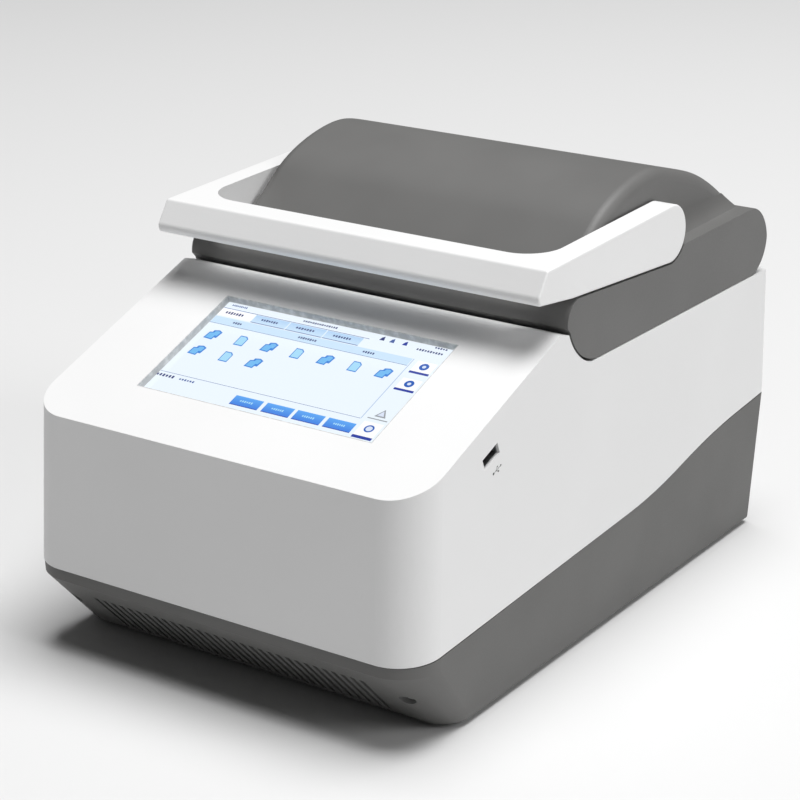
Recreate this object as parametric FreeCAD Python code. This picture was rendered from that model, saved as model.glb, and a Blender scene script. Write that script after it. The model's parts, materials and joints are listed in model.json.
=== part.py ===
import FreeCAD, Part
import math
import os

# Bench thermal cycler with a 96-well block, in millimetres.
# +X is the operator's right, +Y runs to the rear, +Z up. The origin is on the bench,
# under the middle of the housing.

V = FreeCAD.Vector
os.makedirs("parts", exist_ok=True)

# ---- driving dimensions -------------------------------------------------------------
depth = 398.0                  # housing, front to rear
frontY = -depth / 2
rearY = depth / 2
footHeight = 3.0               # the housing floor stands this far off the bench
wall = 3.5                     # moulded housing walls
runGap = 0.05                  # radial clearance of a running fit
fitGap = 0.3                   # gap between neighbouring mouldings

partLineFront = 51.8           # height of the joint between tray and cover at the front
partLineMid = (53.0, 67.5)     # (y, z) where that joint starts to climb
partLineUpper = (131.0, 84.3)
partLineRear = 90.6
chamferTop = 45.5              # the tray's front slopes in below this height
chamferFootY = -157.0
frontCorner = 24.5
rearCorner = 3.0

deckFront = (-194.9, 142.6)    # (y, z) of the display deck's front edge
deckRear = (-54.2, 195.5)      # and of its crest
deckAngle = math.degrees(math.atan2(deckRear[1] - deckFront[1], deckRear[0] - deckFront[0]))
topZ = 171.2                   # flat top of the cover, under the lid

hingeY, hingeZ = 174.8, 192.9  # lid hinge axis
hingeX = 80.0                  # hinge brackets stand at plus and minus this
hingePinR = 3.0
lidHalf = 129.3
lidBottom = 171.7
slabTopFront, slabTopRear = 211.5, 214.6
noseY, noseZ, noseR = -34.0, 198.5, 13.2
noseLowR = 35.0
noseLowY = -11.5
rollGap = 1.5
slabRearR = 21.2

humpHalf = 114.0
humpEdge = 7.0
humpFlare = 14.6
humpSpine = [(-24.0, 208.0), (-8.0, 222.8), (4.0, 232.3), (17.0, 241.8), (37.5, 251.0), (59.5, 256.2),
             (80.0, 257.2), (97.5, 253.4), (115.0, 248.5), (130.0, 243.7), (146.0, 236.6), (161.0, 228.0),
             (173.0, 219.0), (181.0, 208.0)]
lidWall = 3.0

pivotY, pivotZ = 69.5, 223.0   # the handle turns about this axis
armEndR = 17.2
armThick = 14.0
barRearY = -53.0
barCorner = 22.0
shaftR = 4.0
handleEdge = 1.2
camR, camThrow = 12.0, 8.0

displayHalf = 79.2             # half the display opening's width
displayLow, displayHigh = 37.5, 125.8    # its lower and upper edge, measured up the deck

blockY = 40.0                  # centre of the well block
blockX2, blockY2 = 63.0, 44.0  # half sizes
blockTop, blockBottom = 163.0, 145.0
wellPitch, wellRows, wellCols = 9.0, 8, 12
wellTopR, wellTipR, wellDepth = 2.75, 1.2, 14.5
bayX2, bayY2 = 73.0, 53.0      # half sizes of the opening in the cover

plateBottom, plateThick = 168.0, 10.0
plateX2, plateY2 = 66.0, 45.0
carrierZ = 184.0
frameZ = 216.0
postX, postY = 78.0, 30.0      # guide posts, from the block's centre
postR = 3.0

rearOpenX, rearOpenZ0, rearOpenZ1 = 106.0, 16.0, 150.0
panelY = 193.4
panelThick = 2.0
fanX, fanZ, fanSize, fanDeep = -14.0, 88.0, 120.0, 25.0
inletX, inletZ = 86.0, 56.0
switchX, switchZ = 86.0, 112.0


# ---- small helpers ------------------------------------------------------------------
def save(shape, node):
    shape.exportStep("parts/" + node + ".step")
    print(node, len(shape.Solids), "solids", round(shape.Volume / 1000, 2), "cm3", shape.isValid())


def box(x0, x1, y0, y1, z0, z1):
    return Part.makeBox(x1 - x0, y1 - y0, z1 - z0, V(x0, y0, z0))


def rod(x, y, z, radius, length, direction=(0, 0, 1)):
    return Part.makeCylinder(radius, length, V(x, y, z), V(*direction))


def tube(x, y, z, outer, inner, length, direction=(0, 0, 1)):
    return rod(x, y, z, outer, length, direction).cut(rod(x, y, z, inner, length, direction))


def both(shape):
    """The shape and its mirror image across the middle plane, as separate solids."""
    return Part.makeCompound([shape, shape.mirror(V(0, 0, 0), V(1, 0, 0))])


def group(shapes):
    solids = []
    for shape in shapes:
        solids.extend(shape.Solids)
    return Part.makeCompound(solids)


def sideProfile(edges, half):
    """A closed outline in the Y-Z plane, made into a solid from -half to +half across."""
    face = Part.Face(Part.Wire(edges))
    face.translate(V(-half, 0, 0))
    return face.extrude(V(2 * half, 0, 0))


def line(a, b):
    return Part.LineSegment(V(0, *a), V(0, *b)).toShape()


def arc(a, m, b):
    return Part.Arc(V(0, *a), V(0, *m), V(0, *b)).toShape()


def outline(points):
    """Straight edges round a list of (y, z) points."""
    return [line(points[i], points[(i + 1) % len(points)]) for i in range(len(points))]


def onCircle(cy, cz, r, degrees):
    return (cy + r * math.cos(math.radians(degrees)), cz + r * math.sin(math.radians(degrees)))


def rounded(halfFront, halfRear, y0, y1, z, rFront, rRear):
    """A rounded plan outline at height z, with its own corner radii at the front and rear."""
    c = math.sqrt(0.5)
    pts = []
    for sx, half, y, sy, r in ((-1, halfFront, y0, 1, rFront), (1, halfFront, y0, 1, rFront),
                               (1, halfRear, y1, -1, rRear), (-1, halfRear, y1, -1, rRear)):
        centre = V(sx * (half - r), y + sy * r, z)
        onEnd = V(sx * (half - r), y, z)
        onSide = V(sx * half, y + sy * r, z)
        middle = centre + V(sx * r * c, -sy * r * c, 0)
        pts.append((onEnd, middle, onSide))
    turns = [(pts[0][2], pts[0][1], pts[0][0]), pts[1], (pts[2][2], pts[2][1], pts[2][0]), pts[3]]
    edges = []
    for i, turn in enumerate(turns):
        edges.append(Part.Arc(*turn).toShape())
        edges.append(Part.LineSegment(turn[2], turns[(i + 1) % len(turns)][0]).toShape())
    return Part.Wire(edges)


def plate(x0, x1, y0, y1, z0, z1, corner):
    """A flat plate with rounded upright corners."""
    body = box(x0, x1, y0, y1, z0, z1)
    upright = [e for e in body.Edges if abs(e.Vertexes[0].Z - e.Vertexes[-1].Z) > (z1 - z0) / 2]
    return body.makeFillet(corner, upright)


def screw(x, y, z, direction, shank=1.5, length=8.0, head=2.8, headHigh=2.0):
    """A pan-head screw whose head's underside is at (x, y, z) and whose shank runs along direction."""
    d = V(*direction)
    d.normalize()
    body = Part.makeCylinder(shank, length, V(x, y, z), d)
    cap = Part.makeCylinder(head, headHigh, V(x, y, z), d * -1)
    slot = Part.makeCylinder(head * 0.5, headHigh * 0.5, V(x, y, z) - d * headHigh, d)
    return body.fuse(cap.cut(slot)).removeSplitter()


def coverHalf(z):
    """Half-width of the cover: its sides draw in slightly towards the top."""
    return 132.4 - 0.022 * (z - partLineFront)


def coverFrontY(z):
    return frontY + (z - partLineFront) * (deckFront[0] - frontY) / (deckFront[1] - partLineFront)


def coverHull(inset):
    """The cover's plan, drawn in towards the top, with its walls moved in by inset."""
    wires = []
    for z in (20.0, 240.0):
        half = coverHalf(z) - inset
        wires.append(rounded(half, half, coverFrontY(z) + inset, rearY - inset, z,
                             frontCorner - inset, max(rearCorner - inset, 1.0)))
    return Part.makeLoft(wires, True, True)


def coverTop(inset):
    """Everything under the deck, the crest and the flat top, moved in by inset."""
    far = 300.0
    roll = noseLowR + rollGap + inset
    rollZ = lidBottom + noseLowR
    flat = topZ - inset
    rad = math.radians(deckAngle)
    drop = V(0, math.sin(rad), -math.cos(rad)) * inset
    low = (deckFront[0] - far * math.cos(rad) + drop.y, deckFront[1] - far * math.sin(rad) + drop.z)
    crest = (deckRear[0] + drop.y, deckRear[1] + drop.z)
    start = (noseLowY - roll * math.cos(math.radians(22.0)), rollZ - roll * math.sin(math.radians(22.0)))
    middle = (noseLowY - roll * math.cos(math.radians(52.0)), rollZ - roll * math.sin(math.radians(52.0)))
    end = (noseLowY - math.sqrt(roll ** 2 - (rollZ - flat) ** 2), flat)
    edges = [line((low[0], -far), low), line(low, crest), line(crest, start), arc(start, middle, end),
             line(end, (far, flat)), line((far, flat), (far, -far)), line((far, -far), (low[0], -far))]
    return sideProfile(edges, 150.0)


def partLine(gap):
    """Everything above the joint between the tray and the cover."""
    far = 300.0
    pts = [V(0, frontY, partLineFront), V(0, *partLineMid), V(0, *partLineUpper), V(0, rearY, partLineRear)]
    edges = []
    start = pts[0] + (pts[0] - pts[1]) * 0.4
    for i, reach in ((1, 28.0), (2, 30.0)):
        before = pts[i] - (pts[i] - pts[i - 1]).normalize() * reach
        after = pts[i] + (pts[i + 1] - pts[i]).normalize() * reach
        middle = (before + after) * 0.25 + pts[i] * 0.5
        edges.append(Part.LineSegment(start, before).toShape())
        edges.append(Part.Arc(before, middle, after).toShape())
        start = after
    end = pts[3] + (pts[3] - pts[2]) * 0.4
    corner1, corner0 = V(0, end.y, far), V(0, edges[0].Vertexes[0].Y, far)
    edges.append(Part.LineSegment(start, end).toShape())
    edges.append(Part.LineSegment(end, corner1).toShape())
    edges.append(Part.LineSegment(corner1, corner0).toShape())
    edges.append(Part.LineSegment(corner0, edges[0].Vertexes[0].Point).toShape())
    solid = sideProfile(edges, 150.0)
    solid.translate(V(0, 0, gap))
    return solid


def deckPoint(x, s, down=0.0):
    """A point on the deck: x across, s up the slope from its front edge, down below the surface."""
    rad = math.radians(deckAngle)
    return V(x, deckFront[0] + s * math.cos(rad) + down * math.sin(rad),
             deckFront[1] + s * math.sin(rad) - down * math.cos(rad))


def deckBox(x0, x1, s0, s1, d0, d1):
    """A box that lies along the deck, from depth d0 to depth d1 below its surface."""
    body = Part.makeBox(x1 - x0, s1 - s0, d1 - d0, V(x0, s0, -d1))
    body.rotate(V(0, 0, 0), V(1, 0, 0), deckAngle)
    body.translate(deckPoint(0, 0))
    return body


# ---- housing: tray and cover --------------------------------------------------------
trayFloor = footHeight
trayKnee = chamferTop
trayEdge = 2.0


def trayHull(inset):
    """The tray's outer form: upright lip, front chamfer, sides that draw in below."""
    sideDraw, taper = 0.059, 3.1
    levels = []
    for z, y0 in ((trayFloor, chamferFootY), (trayKnee, frontY + 0.7), (110.0, frontY + 0.1)):
        half = 129.5 + sideDraw * (z - footHeight)
        zIn = z + (inset if z == trayFloor else 0)
        yIn = y0 + inset * (1.25 if z == trayFloor else 1.0)
        corner = (18.0 if z == trayFloor else frontCorner) - inset
        levels.append(rounded(half - inset, half - taper - inset, yIn,
                              rearY - inset, zIn, corner, max(rearCorner - inset, 1.0)))
    lower = Part.makeLoft(levels[:2], True, True)
    upper = Part.makeLoft(levels[1:], True, True)
    return lower.fuse(upper).removeSplitter()


chamferRise = chamferTop - trayFloor
chamferRun = chamferFootY - frontY
chamferAngle = math.degrees(math.atan2(chamferRise, chamferRun))


def onChamfer(shape, x, up):
    """Puts a shape built on the X-Y plane onto the front chamfer, its +Z pointing inwards."""
    shape = shape.copy()
    shape.rotate(V(0, 0, 0), V(1, 0, 0), -chamferAngle)
    rad = math.radians(chamferAngle)
    shape.translate(V(x, chamferFootY - up * math.cos(rad), trayFloor + up * math.sin(rad)))
    return shape


caseHoleX, caseHoleUp = 114.5, 31.0
trayOuter = trayHull(0.0)
bottomEdges = [e for e in trayOuter.Edges if e.BoundBox.ZMax < trayFloor + 0.1]
trayOuter = trayOuter.makeFillet(trayEdge, bottomEdges)
trayShell = trayOuter.cut(trayHull(wall))
aboveJoint = partLine(-0.3)
baseTray = trayShell.cut(aboveJoint)
slotWide, slotPitch, slotCount, slotFirstX = 3.0, 6.1, 31, -91.5
slotLow, slotHigh = 5.0, 43.5
slots = []
for i in range(slotCount):
    cutter = box(-slotWide / 2, slotWide / 2, -slotHigh, -slotLow, -4.0, 8.0)
    slots.append(onChamfer(cutter, slotFirstX + i * slotPitch, 0.0))
bosses = [onChamfer(rod(0, 0, 1.0, 6.8, 11.0), sx * caseHoleX, caseHoleUp) for sx in (-1, 1)]
caseHoles = [onChamfer(rod(0, 0, -4.0, 4.8, 9.0), sx * caseHoleX, caseHoleUp) for sx in (-1, 1)]
shankHoles = [onChamfer(rod(0, 0, 4.0, 1.6, 12.0), sx * caseHoleX, caseHoleUp) for sx in (-1, 1)]
chassisBossAt = [(sx * 98.0, y) for sx in (-1, 1) for y in (-120.0, 172.0)]
trayBosses = [rod(x, y, trayFloor + 2.0, 5.0, 4.0) for x, y in chassisBossAt]
pilotHoles = [rod(x, y, trayFloor + 1.5, 1.65, 6.0) for x, y in chassisBossAt]
panelScrewX, panelScrewLow, panelScrewHigh = 100.0, 24.0, 142.0
panelScrewAt = [(sx * panelScrewX, z) for sx in (-1, 1) for z in (panelScrewLow, panelScrewHigh)]
bossRearY = panelY - 0.1
panelPilots = [rod(x, bossRearY - 8.5, z, 1.65, 9.5, (0, 1, 0)) for x, z in panelScrewAt]
trayBosses += both(box(panelScrewX - 4, panelScrewX + 4, bossRearY - 10, bossRearY, trayFloor + 2.0,
                       panelScrewLow + 4)).Solids
rearOpening = box(-rearOpenX, rearOpenX, rearY - 2 * wall, rearY + 5.0, rearOpenZ0, rearOpenZ1)
baseTray = baseTray.cut(rearOpening).fuse(bosses + trayBosses)
baseTray = baseTray.cut(slots + caseHoles + shankHoles + pilotHoles + panelPilots).common(trayOuter)
save(baseTray, "base_tray")

coverOuter = coverHull(0.0).common(coverTop(0.0))
crestEdges = [e for e in coverOuter.Edges
              if abs(e.BoundBox.YMin - deckRear[0]) < 1.0 and abs(e.BoundBox.ZMax - deckRear[1]) < 1.0
              and e.BoundBox.XLength > 200.0]
coverOuter = coverOuter.makeFillet(4.0, crestEdges)
coverInner = coverHull(wall).common(coverTop(wall))
topCover = coverOuter.cut(coverInner).common(partLine(0.4))
displayCut = deckBox(-displayHalf, displayHalf, displayLow, displayHigh, -5.0, wall + 6.0)
bayCut = box(-bayX2, bayX2, blockY - bayY2, blockY + bayY2, topZ - wall - 2.0, topZ + 2.0)
bracketSlots = both(box(hingeX - 5.8, hingeX + 5.8, hingeY - 10.5, hingeY + 10.5, topZ - wall - 2, topZ + 2))
usbY, usbZ = -124.6, 148.5
usbCut = box(120.0, 140.0, -7.8, 7.8, -3.3, 3.3)
usbCut.rotate(V(0, 0, 0), V(1, 0, 0), deckAngle)
usbCut.translate(V(0, usbY, usbZ))
coverBosses = both(box(panelScrewX - 4, coverHalf(panelScrewHigh) - wall + 1.0, bossRearY - 10, bossRearY,
                       panelScrewHigh - 4, panelScrewHigh + 4)).Solids
tongueX, tongueY0, tongueY1 = 92.0, -2.0, 6.0
tongueSlots = both(box(tongueX - 2.6, tongueX + 2.6, tongueY0 - 4.0, tongueY1 + 2.0, topZ - wall - 2, topZ + 2))
topCover = topCover.cut([displayCut, bayCut, usbCut, rearOpening] + bracketSlots.Solids + tongueSlots.Solids)
topCover = topCover.fuse(coverBosses).cut(panelPilots)
save(topCover, "top_cover")

# ---- feet, chassis and case screws --------------------------------------------------
footAt = [(sx * 100.0, y) for sx in (-1, 1) for y in (-125.0, 165.0)]
feet = [rod(x, y, 0, 9.0, footHeight - 0.05) for x, y in footAt]
save(group([foot.makeFillet(0.8, [foot.Edges[2]]) for foot in feet]), "feet")
save(group([screw(*onChamfer(Part.Vertex(0, 0, 5.0), sx * caseHoleX, caseHoleUp).Point,
                  (0, math.sin(math.radians(chamferAngle)), math.cos(math.radians(chamferAngle))),
                  1.5, 8.0, 3.8, 2.4)
            for sx in (-1, 1)]), "case_screws")

chassisZ, chassisThick = 9.05, 1.5
chassis = plate(-110, 110, -132, 181, chassisZ, chassisZ + chassisThick, 6.0)
chassis = chassis.cut([rod(x, y, chassisZ - 1, 1.7, 4) for x, y in chassisBossAt])
save(chassis, "chassis_plate")
save(group([screw(x, y, chassisZ + chassisThick, (0, 0, -1), 1.6, 4.0, 3.0, 2.0)
            for x, y in chassisBossAt]), "chassis_screws")

# ---- sample block, coolers and heat sink ---------------------------------------------
block = plate(-blockX2, blockX2, blockY - blockY2, blockY + blockY2, blockBottom, blockTop, 4.0)
wells = []
for col in range(wellCols):
    for row in range(wellRows):
        x = (col - (wellCols - 1) / 2) * wellPitch
        y = blockY + (row - (wellRows - 1) / 2) * wellPitch
        wells.append(Part.makeCone(wellTipR, wellTopR, wellDepth, V(x, y, blockTop - wellDepth), V(0, 0, 1)))
blockScrewAt = [(x, blockY + sy * 39.6) for x in (-54.0, 0.0, 54.0) for sy in (-1, 1)]
counterbores = [rod(x, y, blockTop - 6.0, 2.9, 7.0) for x, y in blockScrewAt]
clearances = [rod(x, y, blockBottom - 1, 1.7, 20.0) for x, y in blockScrewAt]
save(block.cut(wells + counterbores + clearances), "sample_block")

coolerThick = 3.9
sinkTop = blockBottom - coolerThick
coolerHalf, coolerPitchX, coolerPitchY = 18.5, 40.5, 38.0
coolers = [box(cx - coolerHalf, cx + coolerHalf, cy - coolerHalf, cy + coolerHalf, sinkTop, blockBottom)
           for cx in (-coolerPitchX, 0.0, coolerPitchX)
           for cy in (blockY - coolerPitchY / 2, blockY + coolerPitchY / 2)]
save(group(coolers), "peltier_modules")

sinkX2, sinkY0, sinkY1 = 80.0, -15.0, 95.0
sinkBase, finBottom, finThick, finPitch = 12.0, 62.0, 1.5, 5.0
sink = box(-sinkX2, sinkX2, sinkY0, sinkY1, sinkTop - sinkBase, sinkTop)
finCount = int(2 * sinkX2 / finPitch) + 1
fins = []
for i in range(finCount):
    x = -sinkX2 + i * (2 * sinkX2 - finThick) / (finCount - 1)
    fins.append(box(x, x + finThick, sinkY0, sinkY1, finBottom, sinkTop - sinkBase + 0.5))
sink = sink.fuse(fins).cut([rod(x, y, sinkTop - 11.0, 1.5, 12.0) for x, y in blockScrewAt])
save(sink.removeSplitter(), "heat_sink")
save(group([screw(x, y, blockTop - 6.0, (0, 0, -1), 1.45, 26.0, 2.6, 3.0) for x, y in blockScrewAt]),
     "block_screws")

sealInner = plate(-blockX2 - 0.1, blockX2 + 0.1, blockY - blockY2 - 0.1, blockY + blockY2 + 0.1,
                  sinkTop - 1, 158.0, 4.0)
sealOuter = plate(-blockX2 - 4, blockX2 + 4, blockY - blockY2 - 4, blockY + blockY2 + 4, sinkTop + 0.05, 157.4, 6.0)
save(sealOuter.cut(sealInner), "block_seal")

collarX2, collarY2 = bayX2 - fitGap, bayY2 - fitGap
collarWall, ledgeLow, ledgeHigh = 2.5, 157.6, 159.6
collar = plate(-collarX2, collarX2, blockY - collarY2, blockY + collarY2, ledgeLow, topZ - 0.2, 5.0)
collarBay = plate(-collarX2 + collarWall, collarX2 - collarWall, blockY - collarY2 + collarWall,
                  blockY + collarY2 - collarWall, ledgeHigh, topZ + 1, 3.0)
collarHole = plate(-blockX2 - 0.6, blockX2 + 0.6, blockY - blockY2 - 0.6, blockY + blockY2 + 0.6,
                   ledgeLow - 1, ledgeHigh + 1, 4.5)
flange = plate(-collarX2 - 5, collarX2 + 5, blockY - collarY2 - 5, blockY + collarY2 + 5,
               topZ - wall - 2.1, topZ - wall - 0.1, 6.0)
collar = collar.fuse(flange).cut([collarBay, collarHole]).removeSplitter()
save(collar, "block_surround")

# ---- fan, duct and rear panel ---------------------------------------------------------
fanFront = panelY - 0.3 - fanDeep
fanBoreR = 57.0
fanHoleAt = [(fanX + sx * 52.5, fanZ + sz * 52.5) for sx in (-1, 1) for sz in (-1, 1)]
fanFrame = box(fanX - fanSize / 2, fanX + fanSize / 2, fanFront, panelY - 0.3,
               fanZ - fanSize / 2, fanZ + fanSize / 2)
fanFrame = fanFrame.cut([rod(fanX, fanFront - 1, fanZ, fanBoreR, fanDeep + 2, (0, 1, 0))]
                        + [rod(x, fanFront - 1, z, 2.2, fanDeep + 2, (0, 1, 0)) for x, z in fanHoleAt])
hubR = 19.0
motor = rod(fanX, fanFront, fanZ, hubR, 5.0, (0, 1, 0)).fuse(rod(fanX, fanFront + 4, fanZ, 3.0, 8.0, (0, 1, 0)))
struts = []
for i in range(4):
    strut = box(fanX + hubR - 2, fanX + fanBoreR + 1, fanFront, fanFront + 3.0, fanZ - 2.0, fanZ + 2.0)
    strut.rotate(V(fanX, 0, fanZ), V(0, 1, 0), 45.0 + 90.0 * i)
    struts.append(strut)
save(fanFrame.fuse([motor] + struts).removeSplitter(), "fan_frame")

bladeCount, bladeTip = 7, 55.0
rotorHub = rod(fanX, fanFront + 5.6, fanZ, hubR, 18.0, (0, 1, 0))
blades = []
for i in range(bladeCount):
    blade = Part.makeBox(bladeTip - hubR + 1, 1.6, 17.0, V(hubR - 1, -0.8, -8.5))
    blade.rotate(V(0, 0, 0), V(1, 0, 0), 40.0)
    blade.rotate(V(0, 0, 0), V(1, 0, 0), 90.0)
    blade.rotate(V(0, 0, 0), V(0, 1, 0), 360.0 / bladeCount * i)
    blade.translate(V(fanX, fanFront + 14.6, fanZ))
    blades.append(blade)
ring = tube(fanX, fanFront + 7.0, fanZ, bladeTip, hubR - 0.5, 16.0, (0, 1, 0))
blades = [b.common(ring) for b in blades]
rotor = rotorHub.fuse(blades).cut(rod(fanX, fanFront + 5, fanZ, 3.0 + runGap, 8.0, (0, 1, 0)))
save(rotor.removeSplitter(), "fan_rotor")


def ductForm(inset):
    y0, y1 = sinkY1 + 0.5, fanFront - 0.3
    ends = []
    for y, x0, x1, z0, z1 in ((y0, -sinkX2, sinkX2, finBottom - 2, sinkTop),
                              (y1, fanX - 60, fanX + 60, fanZ - 60, fanZ + 60)):
        corners = [V(x0 + inset, y, z0 + inset), V(x1 - inset, y, z0 + inset),
                   V(x1 - inset, y, z1 - inset), V(x0 + inset, y, z1 - inset)]
        ends.append(Part.makePolygon(corners + corners[:1]))
    return Part.makeLoft(ends, True, True)


save(ductForm(0.0).cut(ductForm(1.5)), "air_duct")

panel = box(-rearOpenX - 4, rearOpenX + 4, panelY, panelY + panelThick, rearOpenZ0 - 4, rearOpenZ1 + 4)
inletCut = box(inletX - 13.6, inletX + 13.6, panelY - 1, panelY + 5, inletZ - 23.6, inletZ + 23.6)
switchCut = box(switchX - 9.5, switchX + 9.5, panelY - 1, panelY + 5, switchZ - 13.0, switchZ + 13.0)
netX, netZ = -88.0, 40.0
netCut = box(netX - 8.3, netX + 8.3, panelY - 1, panelY + 5, netZ - 7.0, netZ + 7.0)
grilleRings = [tube(fanX, panelY - 1, fanZ, r + 5.0, r, 5, (0, 1, 0)) for r in (21.0, 28.0, 35.0, 42.0, 49.0)]
spokes = []
for i in range(4):
    spoke = box(-60, 60, panelY - 2, panelY + 6, -1.5, 1.5)
    spoke.rotate(V(0, 0, 0), V(0, 1, 0), 22.5 + 45.0 * i)
    spoke.translate(V(fanX, 0, fanZ))
    spokes.append(spoke)
grilleCuts = [ring.cut(spokes) for ring in grilleRings]
panelHoles = [rod(x, panelY - 1, z, 2.2, 5, (0, 1, 0)) for x, z in fanHoleAt]
panelHoles += [rod(x, panelY - 1, z, 1.7, 5, (0, 1, 0)) for x, z in panelScrewAt]
save(panel.cut(grilleCuts + panelHoles + [inletCut, switchCut, netCut]).removeSplitter(), "rear_panel")
save(group([screw(x, panelY + panelThick, z, (0, -1, 0), 2.1, 24.0, 3.6, 2.2) for x, z in fanHoleAt]),
     "fan_screws")

# ---- mains inlet, fuse drawer, switch, network socket ----------------------------------
inletFace = panelY + panelThick
inletBody = box(inletX - 13.3, inletX + 13.3, inletFace - 26, inletFace + 0.5, inletZ - 23.3, inletZ + 23.3)
inletFlange = box(inletX - 16, inletX + 16, inletFace, inletFace + 2.5, inletZ - 26, inletZ + 26)
plugZ = inletZ + 8.0
cavity = box(inletX - 12.2, inletX + 12.2, inletFace - 16, inletFace + 4, plugZ - 8.2, plugZ + 8.2)
drawerZ = inletZ - 14.5
drawerHole = box(inletX - 11.3, inletX + 11.3, inletFace - 18, inletFace + 4, drawerZ - 5.3, drawerZ + 5.3)
pinSlots = [box(inletX + dx - 1.0, inletX + dx + 1.0, inletFace - 27, inletFace - 2, plugZ - 2, plugZ + 2)
            for dx in (-7.0, 0.0, 7.0)]
save(inletBody.fuse(inletFlange).cut([cavity, drawerHole] + pinSlots).removeSplitter(), "power_inlet")
save(group([box(inletX + dx - 1.0, inletX + dx + 1.0, inletFace - 34, inletFace - 3, plugZ - 2, plugZ + 2)
            for dx in (-7.0, 0.0, 7.0)]), "inlet_pins")
drawer = box(inletX - 11.0, inletX + 11.0, inletFace - 15, inletFace + 1.5, drawerZ - 5.0, drawerZ + 5.0)
drawer = drawer.cut(box(inletX - 9.6, inletX + 9.6, inletFace - 14, inletFace - 1.5, drawerZ - 3.6, drawerZ + 6))
drawer = drawer.fuse(box(inletX - 5, inletX + 5, inletFace + 1.0, inletFace + 2.6, drawerZ - 1, drawerZ + 1))
save(drawer.removeSplitter(), "fuse_drawer")
save(group([rod(inletX - 9.4, inletFace - 10.0 + 5.4 * k, drawerZ - 1.0, 2.5, 18.8, (1, 0, 0))
            for k in (0, 1)]), "fuses")

switchBody = box(switchX - 9.3, switchX + 9.3, inletFace - 18, inletFace + 0.5, switchZ - 12.7, switchZ + 12.7)
switchBezel = box(switchX - 11, switchX + 11, inletFace, inletFace + 1.6, switchZ - 15, switchZ + 15)
rockerR = 16.0
rockerAxisY = inletFace - 8.0
rockerWell = box(switchX - 7.7, switchX + 7.7, inletFace - 14.5, inletFace + 3, switchZ - 11.8, switchZ + 11.8)
switchHousing = switchBody.fuse(switchBezel).cut(rockerWell)
axle = rod(switchX - 8.5, rockerAxisY, switchZ, 1.5, 17.0, (1, 0, 0))
save(switchHousing.fuse(axle).removeSplitter(), "switch_housing")
rockerHalf = 9.6
rocker = box(switchX - 7.3, switchX + 7.3, rockerAxisY - 3.0, rockerAxisY + 8.2, switchZ - rockerHalf,
             switchZ + rockerHalf)
scoop = rod(switchX - 10, rockerAxisY + 8.2 + 34.0, switchZ, 35.2, 20.0, (1, 0, 0))
rocker = rocker.cut([scoop, rod(switchX - 9, rockerAxisY, switchZ, 1.5 + runGap, 18.0, (1, 0, 0))])
save(rocker, "power_rocker")

netBody = box(netX - 8, netX + 8, inletFace - 14, inletFace + 0.8, netZ - 6.7, netZ + 6.7)
netBody = netBody.cut([box(netX - 6, netX + 6, inletFace - 11, inletFace + 2, netZ - 3.0, netZ + 4.6),
                       box(netX - 3, netX + 3, inletFace - 11, inletFace + 2, netZ - 5.2, netZ - 2.5)])
save(netBody, "network_socket")
save(group([screw(x, panelY + panelThick, z, (0, -1, 0), 1.6, 9.0, 2.8, 2.0) for x, z in panelScrewAt]),
     "panel_screws")

# ---- electronics ------------------------------------------------------------------------
boardThick = 1.6
psu = box(-102, 58, -108, 88, 11.0, 52.0).cut(box(-100.8, 56.8, -106.8, 86.8, 12.2, 50.8))
psuVents = [box(-92 + 12 * i, -86 + 12 * i, -70, 60, 50.0, 54.0) for i in range(12)]
save(psu.cut(psuVents), "power_supply")
boardZ = 62.0
controlBoard = plate(-92, 92, -140, -28, boardZ, boardZ + boardThick, 3.0)
standoffAt = [(sx * 84.0, y) for sx in (-1, 1) for y in (-132.0, -36.0)]
controlBoard = controlBoard.cut([rod(x, y, boardZ - 1, 1.6, 4) for x, y in standoffAt])
chips = [box(-20, 12, -95, -63, boardZ + boardThick, boardZ + boardThick + 2.4),
         box(30, 52, -90, -76, boardZ + boardThick, boardZ + boardThick + 2.0),
         box(-70, -48, -70, -52, boardZ + boardThick, boardZ + boardThick + 2.0),
         box(60, 78, -120, -60, boardZ + boardThick, boardZ + boardThick + 9.0)]
save(controlBoard, "control_board")
save(group(chips), "board_components")
farStandoffs = [rod(x, y, chassisZ + chassisThick, 3.0, boardZ - chassisZ - chassisThick)
                for x, y in standoffAt if y < -120 or x > 60]
save(group(farStandoffs), "board_standoffs")
driverX = 100.0
save(box(driverX, driverX + boardThick, -20, 110, 60, 132), "driver_board")
save(group([box(driverX - 9.5, driverX, -10 + 30 * i, 8 + 30 * i, 100, 126) for i in range(4)]),
     "driver_transistors")

# ---- display -----------------------------------------------------------------------------
glassThick, panelDeep = 1.8, 6.0
glassLow, glassHigh = displayLow - 5.0, displayHigh + 4.5
sealDeep = 0.6
save(deckBox(-displayHalf - 5, displayHalf + 5, glassLow, glassHigh, wall + sealDeep, wall + sealDeep + glassThick),
     "touch_glass")
gasket = deckBox(-displayHalf - 5, displayHalf + 5, glassLow, glassHigh, wall + 0.02, wall + sealDeep - 0.02)
gasket = gasket.cut(deckBox(-displayHalf - 0.4, displayHalf + 0.4, displayLow - 0.4, displayHigh + 0.4,
                            wall - 2, wall + 4))
save(gasket, "display_gasket")
lcdTop = wall + sealDeep + glassThick
save(deckBox(-displayHalf - 3, displayHalf + 3, glassLow + 1, glassHigh - 1, lcdTop + 0.1, lcdTop + panelDeep),
     "display_panel")
bracketTop = lcdTop + panelDeep + 0.1
bracket = deckBox(-displayHalf - 14, displayHalf + 14, displayLow + 12, displayHigh - 12, bracketTop,
                  bracketTop + 1.2)
save(bracket.cut(deckBox(-55, 55, displayLow + 28, displayHigh - 28, bracketTop - 2, bracketTop + 4)),
     "display_bracket")


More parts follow.
